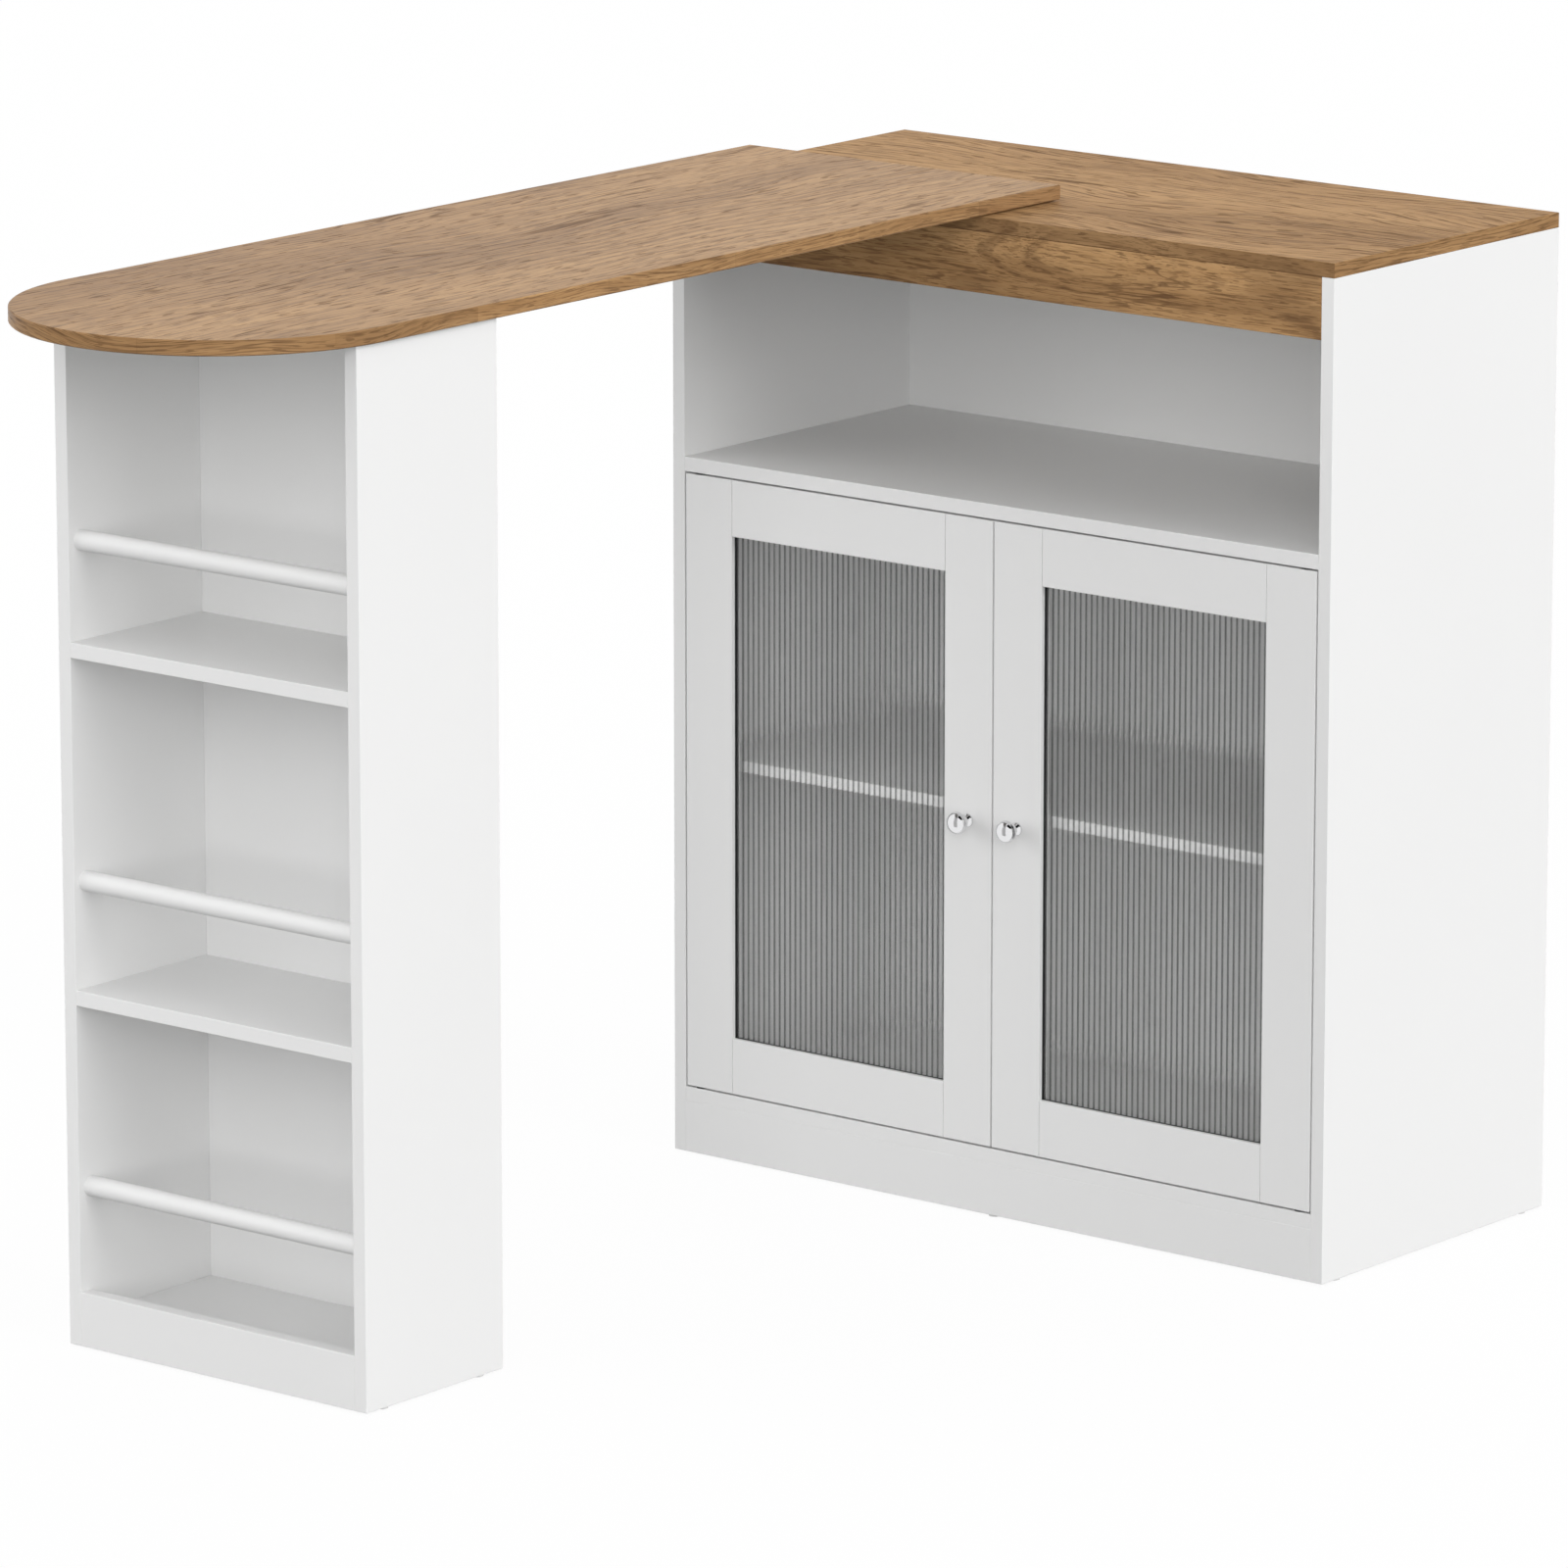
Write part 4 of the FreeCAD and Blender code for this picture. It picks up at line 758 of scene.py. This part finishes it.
class BARTABLE_OT_tabletop(Operator):
    """Lay the tabletop's grain along it, and its edge band round its end"""

    bl_idname = "bar_table.tabletop"
    bl_label = "Tabletop"

    def execute(self, context):
        oak = context.scene.bar_table_oak
        mesh = welded_copy("tabletop", "bar_tabletop")
        low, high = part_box("tabletop")
        self.radius = (high.x - low.x) / 2
        self.middle = (low.x + high.x) / 2
        self.shoulder = low.y + self.radius
        self.soften(mesh, low, high, oak.arris - EASE)
        self.lay_grain(mesh)
        new_piece("bar_tabletop", mesh, "table", ["tabletop"], oak_material(
            "Oak tabletop", mapped=True, tone=1.04, specular=0.2))
        mesh.materials.append(oak_material(
            "Oak edge band", mapped=True, tone=1.11, specular=0.05, smoother=0.15))
        mesh.materials.append(fine_material(
            "Backing paper", oak.backing, roughness=0.55, grain_size=0.0009, cloud_size=0.12, cloud=0.06,
            bump=0.10))
        for face in mesh.polygons:
            rise = face.normal.z
            face.material_index = 0 if rise > SQUARE else 2 if rise < -SQUARE else 1
        return {"FINISHED"}

    def outward(self, spot, low, high):
        """The way out of the tabletop at a point close to its outline, and nothing elsewhere."""
        if spot.y < self.shoulder:
            spoke = Vector((spot.x - self.middle, spot.y - self.shoulder, 0))
            return spoke.normalized() if self.radius - spoke.length < 2 * EASE else Vector()
        sideways = (high.x - spot.x < 2 * EASE) - (spot.x - low.x < 2 * EASE)
        return Vector((sideways, float(high.y - spot.y < 2 * EASE), 0))

    def soften(self, mesh, low, high, more):
        """Widen the eased edges of the tabletop."""
        for corner in mesh.vertices:
            spot = corner.co
            for rim, inward in ((high.z, -1), (low.z, 1)):
                if abs(spot.z - rim) < NEAR:
                    corner.co = spot - self.outward(spot, low, high) * more
                elif abs(spot.z - rim - inward * EASE) < NEAR:
                    corner.co.z += inward * more
        mesh.update()

    def lay_grain(self, mesh):
        """Map the grain: along the faces, round the edge, and across the square end."""
        for layer in list(mesh.uv_layers):
            mesh.uv_layers.remove(layer)
        grain = mesh.uv_layers.new(name="Grain").data
        along, across, _ = TOP_GRAIN
        for face in mesh.polygons:
            for loop in face.loop_indices:
                spot = mesh.vertices[mesh.loops[loop].vertex_index].co
                if abs(face.normal.z) > SQUARE:
                    grain[loop].uv = (spot.y * along, spot.x * across)
                elif face.normal.y > TURNED:
                    grain[loop].uv = (spot.x, END_ROW + spot.z)
                else:
                    grain[loop].uv = (self.run(spot, face), BAND_ROW + spot.z)

    def run(self, spot, face):
        """Distance along the edge band: down the left side, round the end and up the right side."""
        if face.center.y < self.shoulder:
            return self.radius * math.atan2(self.shoulder - spot.y, self.middle - spot.x)
        if face.center.x < self.middle:
            return self.shoulder - spot.y
        return math.pi * self.radius + spot.y - self.shoulder


class BARTABLE_OT_rails(Operator):
    """Set the doors' rails a hair back from the stiles, so that the joints show as lines"""

    bl_idname = "bar_table.rails"
    bl_label = "Door Rails"

    def execute(self, context):
        hair = context.scene.bar_table_melamine.joint
        material = bpy.data.materials["White melamine"]
        for side in SIDES:
            stiles = [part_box(f"{side}_door_{kind}_stile") for kind in ("hinge", "meeting")]
            first, last = sorted(stiles, key=lambda box: box[0].x)
            left, right = first[1].x, last[0].x
            for level in ("top", "bottom"):
                node = f"{side}_door_{level}_rail"
                mesh = welded_copy(node, f"{side}_{level}_rail_board")
                for corner in mesh.vertices:
                    if abs(corner.co.x - left) < 2 * EASE:
                        corner.co.x += hair
                    elif abs(corner.co.x - right) < 2 * EASE:
                        corner.co.x -= hair
                mesh.update()
                new_piece(mesh.name, mesh, f"{side}_door", [node], material)
        return {"FINISHED"}


class BARTABLE_OT_panes(Operator):
    """Make the doors' reeded glass panes"""

    bl_idname = "bar_table.panes"
    bl_label = "Reeded Panes"

    def execute(self, context):
        glass = context.scene.bar_table_glass
        material = glass_material()
        tree, identifiers = reeded_pane_tree()
        for side in SIDES:
            node = f"{side}_door_glass"
            low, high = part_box(node)
            mesh = grown(f"{side}_reeded_pane", tree, identifiers, {
                "Reeds": int((high.x - low.x) / glass.pitch), "Steps": glass.steps, "Pitch": glass.pitch,
                "Reed Height": glass.reed_height, "Height": high.z - low.z, "Thickness": high.y - low.y,
                "Middle": tuple(middle_at(low, high, low.y)), "Crease": math.radians(REED_CREASE),
                "Material": material})
            new_piece(mesh.name, mesh, f"{side}_door", [node], material)
        return {"FINISHED"}


class BARTABLE_OT_knobs(Operator):
    """Turn the doors' chrome knobs"""

    bl_idname = "bar_table.knobs"
    bl_label = "Knobs"

    def execute(self, context):
        knob = context.scene.bar_table_knob
        material = fine_material(
            "Chrome", (0.80, 0.80, 0.81), roughness=0.06, grain_size=0.0006, cloud_size=0.004, cloud=0.04,
            bump=0.02, metallic=1.0)
        for side in SIDES:
            node = f"{side}_door_knob"
            low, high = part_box(node)
            mesh = self.turned(f"{side}_chrome_knob", knob, middle_at(low, high, high.y))
            new_piece(mesh.name, mesh, f"{side}_door", [node], material)
        return {"FINISHED"}

    @staticmethod
    def outline(knob):
        """Radius and height of the knob from its foot to the middle of its face."""
        base, neck, head, reach = knob.base / 2, knob.neck / 2, knob.head / 2, knob.reach
        foot, crown = base - FOOT_EASE, head - HEAD_EASE
        points = [(base, 0.0), (base, FOOT_RIM), (foot, FOOT_TOP)]
        curve = [step / CURVE_STEPS for step in range(1, CURVE_STEPS + 1)]
        for t in curve:
            points.append((neck + (foot - neck) * (1 - t) ** 2, FOOT_TOP + (NECK_TOP - FOOT_TOP) * t))
        for t in curve:
            points.append((
                neck + (crown - neck) * t ** HEAD_FLARE, NECK_TOP + (reach - HEAD_UNDER - NECK_TOP) * t))
        points += [(head, reach - HEAD_LOW), (head, reach - HEAD_HIGH), (crown, reach - CROWN)]
        for step in range(1, CROWN_STEPS):
            swing = math.radians(90) * step / CROWN_STEPS
            points.append((crown * math.cos(swing), reach - CROWN + CROWN * math.sin(swing)))
        return points

    def turned(self, name, knob, foot):
        """A closed solid of revolution that stands out along -Y."""
        work = bmesh.new()
        rings = []
        for radius, height in self.outline(knob):
            rings.append([
                work.verts.new(foot + Vector((radius * math.cos(a), -height, radius * math.sin(a))))
                for a in (2 * math.pi * n / knob.turns for n in range(knob.turns))])
        for lower, upper in zip(rings, rings[1:]):
            for n in range(knob.turns):
                after = (n + 1) % knob.turns
                work.faces.new((lower[n], lower[after], upper[after], upper[n]))
        for ring, height in ((rings[0], 0.0), (rings[-1], knob.reach)):
            pole = work.verts.new(foot + Vector((0, -height, 0)))
            for n in range(knob.turns):
                work.faces.new((ring[n], ring[(n + 1) % knob.turns], pole))
        bmesh.ops.recalc_face_normals(work, faces=work.faces)
        mesh = bpy.data.meshes.new(name)
        work.to_mesh(mesh)
        work.free()
        smooth(mesh, KNOB_CREASE)
        return mesh


class BARTABLE_OT_screws(Operator):
    """Make the cross-head screws of the brackets and the knobs"""

    bl_idname = "bar_table.screws"
    bl_label = "Screws"

    def execute(self, context):
        sizes = context.scene.bar_table_screws
        self.material = fine_material(
            "Plated screw", (0.60, 0.60, 0.58), roughness=0.28, grain_size=0.0004, cloud_size=0.002,
            cloud=0.16, bump=0.06, metallic=1.0)
        self.tree, self.identifiers = screw_tree()

        low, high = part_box("table_brackets")
        seats = []
        for x in (low.x + HALF_BRACKET, high.x - HALF_BRACKET):
            for reach in SCREW_REACHES:
                seats.append((Vector((x, low.y + reach, high.z - BRACKET_PLATE)), Vector((0, 0, -1))))
                seats.append((Vector((x, low.y + BRACKET_PLATE, high.z - reach)), Vector((0, 1, 0))))
        self.fix("bracket_screw_set", "table", "bracket_screws", seats, {
            "Head": sizes.bracket_head, "Rise": sizes.bracket_rise, "Shank": BRACKET_SHANK,
            "Bite": BRACKET_BITE})

        for side in SIDES:
            node = f"{side}_door_knob_screw"
            low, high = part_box(node)
            seat = middle_at(low, high, high.y - sizes.knob_rise)
            self.fix(f"{side}_knob_fixing", f"{side}_door", node, [(seat, Vector((0, 1, 0)))], {
                "Head": sizes.knob_head, "Rise": sizes.knob_rise, "Shank": KNOB_SHANK,
                "Bite": seat.y - low.y})
        return {"FINISHED"}

    def fix(self, name, body, node, seats, sizes):
        """Screws on their seats, as one piece that stands for a CAD node."""
        mesh = grown(
            name, self.tree, self.identifiers, {**sizes, "Material": self.material},
            screw_points(name + "_points", seats))
        smooth(mesh, SCREW_CREASE)
        new_piece(mesh.name, mesh, body, [node], self.material)


class BARTABLE_OT_stage(Operator):
    """Set up the floor, the lamps and the camera"""

    bl_idname = "bar_table.stage"
    bl_label = "Stage"

    def execute(self, context):
        stage = context.scene.bar_table_stage
        self.floor()
        self.room(context.scene, stage.sky)
        for lamp, (name, toward, spread) in LAMPS.items():
            self.lamp(name, toward, spread, getattr(stage, lamp))
        self.card()
        lens = bpy.data.cameras.new("Camera")
        lens.sensor_width = SENSOR_WIDTH
        lens.lens = stage.lens
        camera = bpy.data.objects.new("Camera", lens)
        camera.location = stage.camera
        camera.rotation_euler = Euler((math.radians(90) - stage.tilt, 0, stage.turn))
        context.scene.collection.objects.link(camera)
        context.scene.camera = camera
        context.scene.view_settings.view_transform = "Standard"
        return {"FINISHED"}

    @staticmethod
    def seen(wires):
        """1 where the camera sees the white room, directly or in metal and glass."""
        path = wires.add("ShaderNodeLightPath").outputs
        mirrored = wires.math("MAXIMUM", path["Is Glossy Ray"], path["Is Transmission Ray"])
        return wires.math("MAXIMUM", path["Is Camera Ray"], mirrored)

    @staticmethod
    def sheet(name, low, high, height, material):
        """A level sheet between two corners, which isn't part of the table."""
        mesh = bpy.data.meshes.new(name)
        corners = ((low[0], low[1]), (high[0], low[1]), (high[0], high[1]), (low[0], high[1]))
        mesh.from_pydata([(x, y, height) for x, y in corners], [], [(0, 1, 2, 3)])
        mesh.materials.append(material)
        made = bpy.data.objects.new(name, mesh)
        bpy.context.scene.collection.objects.link(made)
        return made

    def floor(self):
        """A wide pale floor that keeps a faint shadow of the table."""
        material, wires = new_material("Pale floor")
        seen = self.seen(wires)
        matt = wires.add("ShaderNodeBsdfDiffuse", {
            "Color": wires.plus(FLOOR_GREY, wires.times(seen, FLOOR_LIFT))})
        glow = wires.add("ShaderNodeEmission", {"Color": (1, 1, 1, 1), "Strength": 1.0})
        show(wires, wires.add("ShaderNodeMixShader", {
            0: wires.times(seen, FLOOR_GLOW), 1: matt.outputs[0], 2: glow.outputs[0]}))
        self.sheet("Floor", (-FLOOR_REACH, -FLOOR_REACH), (FLOOR_REACH, FLOOR_REACH), -FLOOR_DROP, material)

    def card(self):
        """A dark card overhead, seen only in polished metal and glass."""
        material, wires = new_material("Dark card")
        show(wires, wires.add("ShaderNodeBsdfDiffuse", {"Color": (0.01, 0.01, 0.01, 1)}))
        card = self.sheet("Dark card", CARD_LOW, CARD_HIGH, CARD_HEIGHT, material)
        for ray in ("camera", "diffuse", "transmission", "volume_scatter", "shadow"):
            setattr(card, f"visible_{ray}", False)

    def room(self, scene, level):
        """Light from all round, weaker from overhead, that looks white itself."""
        world = bpy.data.worlds.new("Room")
        world.use_nodes = True
        world.node_tree.nodes.clear()
        wires = Wires(world.node_tree)
        way = wires.parts(wires.add("ShaderNodeTexCoord").outputs["Generated"])
        sky = wires.ease(way[2], *OVERHEAD, level, OVERHEAD_LIGHT * level)
        strength = wires.add(
            "ShaderNodeMix", {0: self.seen(wires), 2: sky, 3: 1.0}, data_type="FLOAT").outputs[0]
        light = wires.add("ShaderNodeBackground", {"Color": (1, 1, 1, 1), "Strength": strength})
        wires.add("ShaderNodeOutputWorld", {"Surface": light.outputs[0]})
        scene.world = world

    @staticmethod
    def lamp(name, toward, spread, strength):
        """A broad soft lamp far off in one direction."""
        light = bpy.data.lights.new(name, "SUN")
        light.energy = strength
        light.angle = math.radians(spread)
        lamp = bpy.data.objects.new(name, light)
        lamp.location = Vector(toward) * LAMP_DISTANCE
        lamp.visible_glossy = False
        lamp.rotation_euler = Vector(toward).to_track_quat("Z", "Y").to_euler()
        bpy.context.scene.collection.objects.link(lamp)


OPERATORS = (
    BARTABLE_OT_white_boards,
    BARTABLE_OT_oak_boards,
    BARTABLE_OT_fittings,
    BARTABLE_OT_tabletop,
    BARTABLE_OT_rails,
    BARTABLE_OT_panes,
    BARTABLE_OT_knobs,
    BARTABLE_OT_screws,
    BARTABLE_OT_stage,
)


class BARTABLE_PT_panel(Panel):
    """Lists the steps that dress the bar table"""

    bl_idname = "BARTABLE_PT_panel"
    bl_label = "Bar Table"
    bl_space_type = "VIEW_3D"
    bl_region_type = "UI"
    bl_category = "Bar Table"

    def draw(self, context):
        for operator in OPERATORS:
            self.layout.operator(operator.bl_idname)


PROPERTIES = {
    "bar_table_oak": OakProperties,
    "bar_table_melamine": MelamineProperties,
    "bar_table_glass": GlassProperties,
    "bar_table_knob": KnobProperties,
    "bar_table_screws": ScrewProperties,
    "bar_table_stage": StageProperties,
}
CLASSES = (*PROPERTIES.values(), *OPERATORS, BARTABLE_PT_panel)


def register():
    for made in CLASSES:
        bpy.utils.register_class(made)
    for name, group in PROPERTIES.items():
        setattr(bpy.types.Scene, name, PointerProperty(type=group))


def unregister():
    for name in PROPERTIES:
        delattr(bpy.types.Scene, name)
    for made in reversed(CLASSES):
        bpy.utils.unregister_class(made)


def main():
    register()
    bpy.ops.bar_table.white_boards()
    bpy.ops.bar_table.oak_boards()
    bpy.ops.bar_table.fittings()
    bpy.ops.bar_table.tabletop()
    bpy.ops.bar_table.rails()
    bpy.ops.bar_table.panes()
    bpy.ops.bar_table.knobs()
    bpy.ops.bar_table.screws()
    bpy.ops.bar_table.stage()


if __name__ == "__main__":
    main()
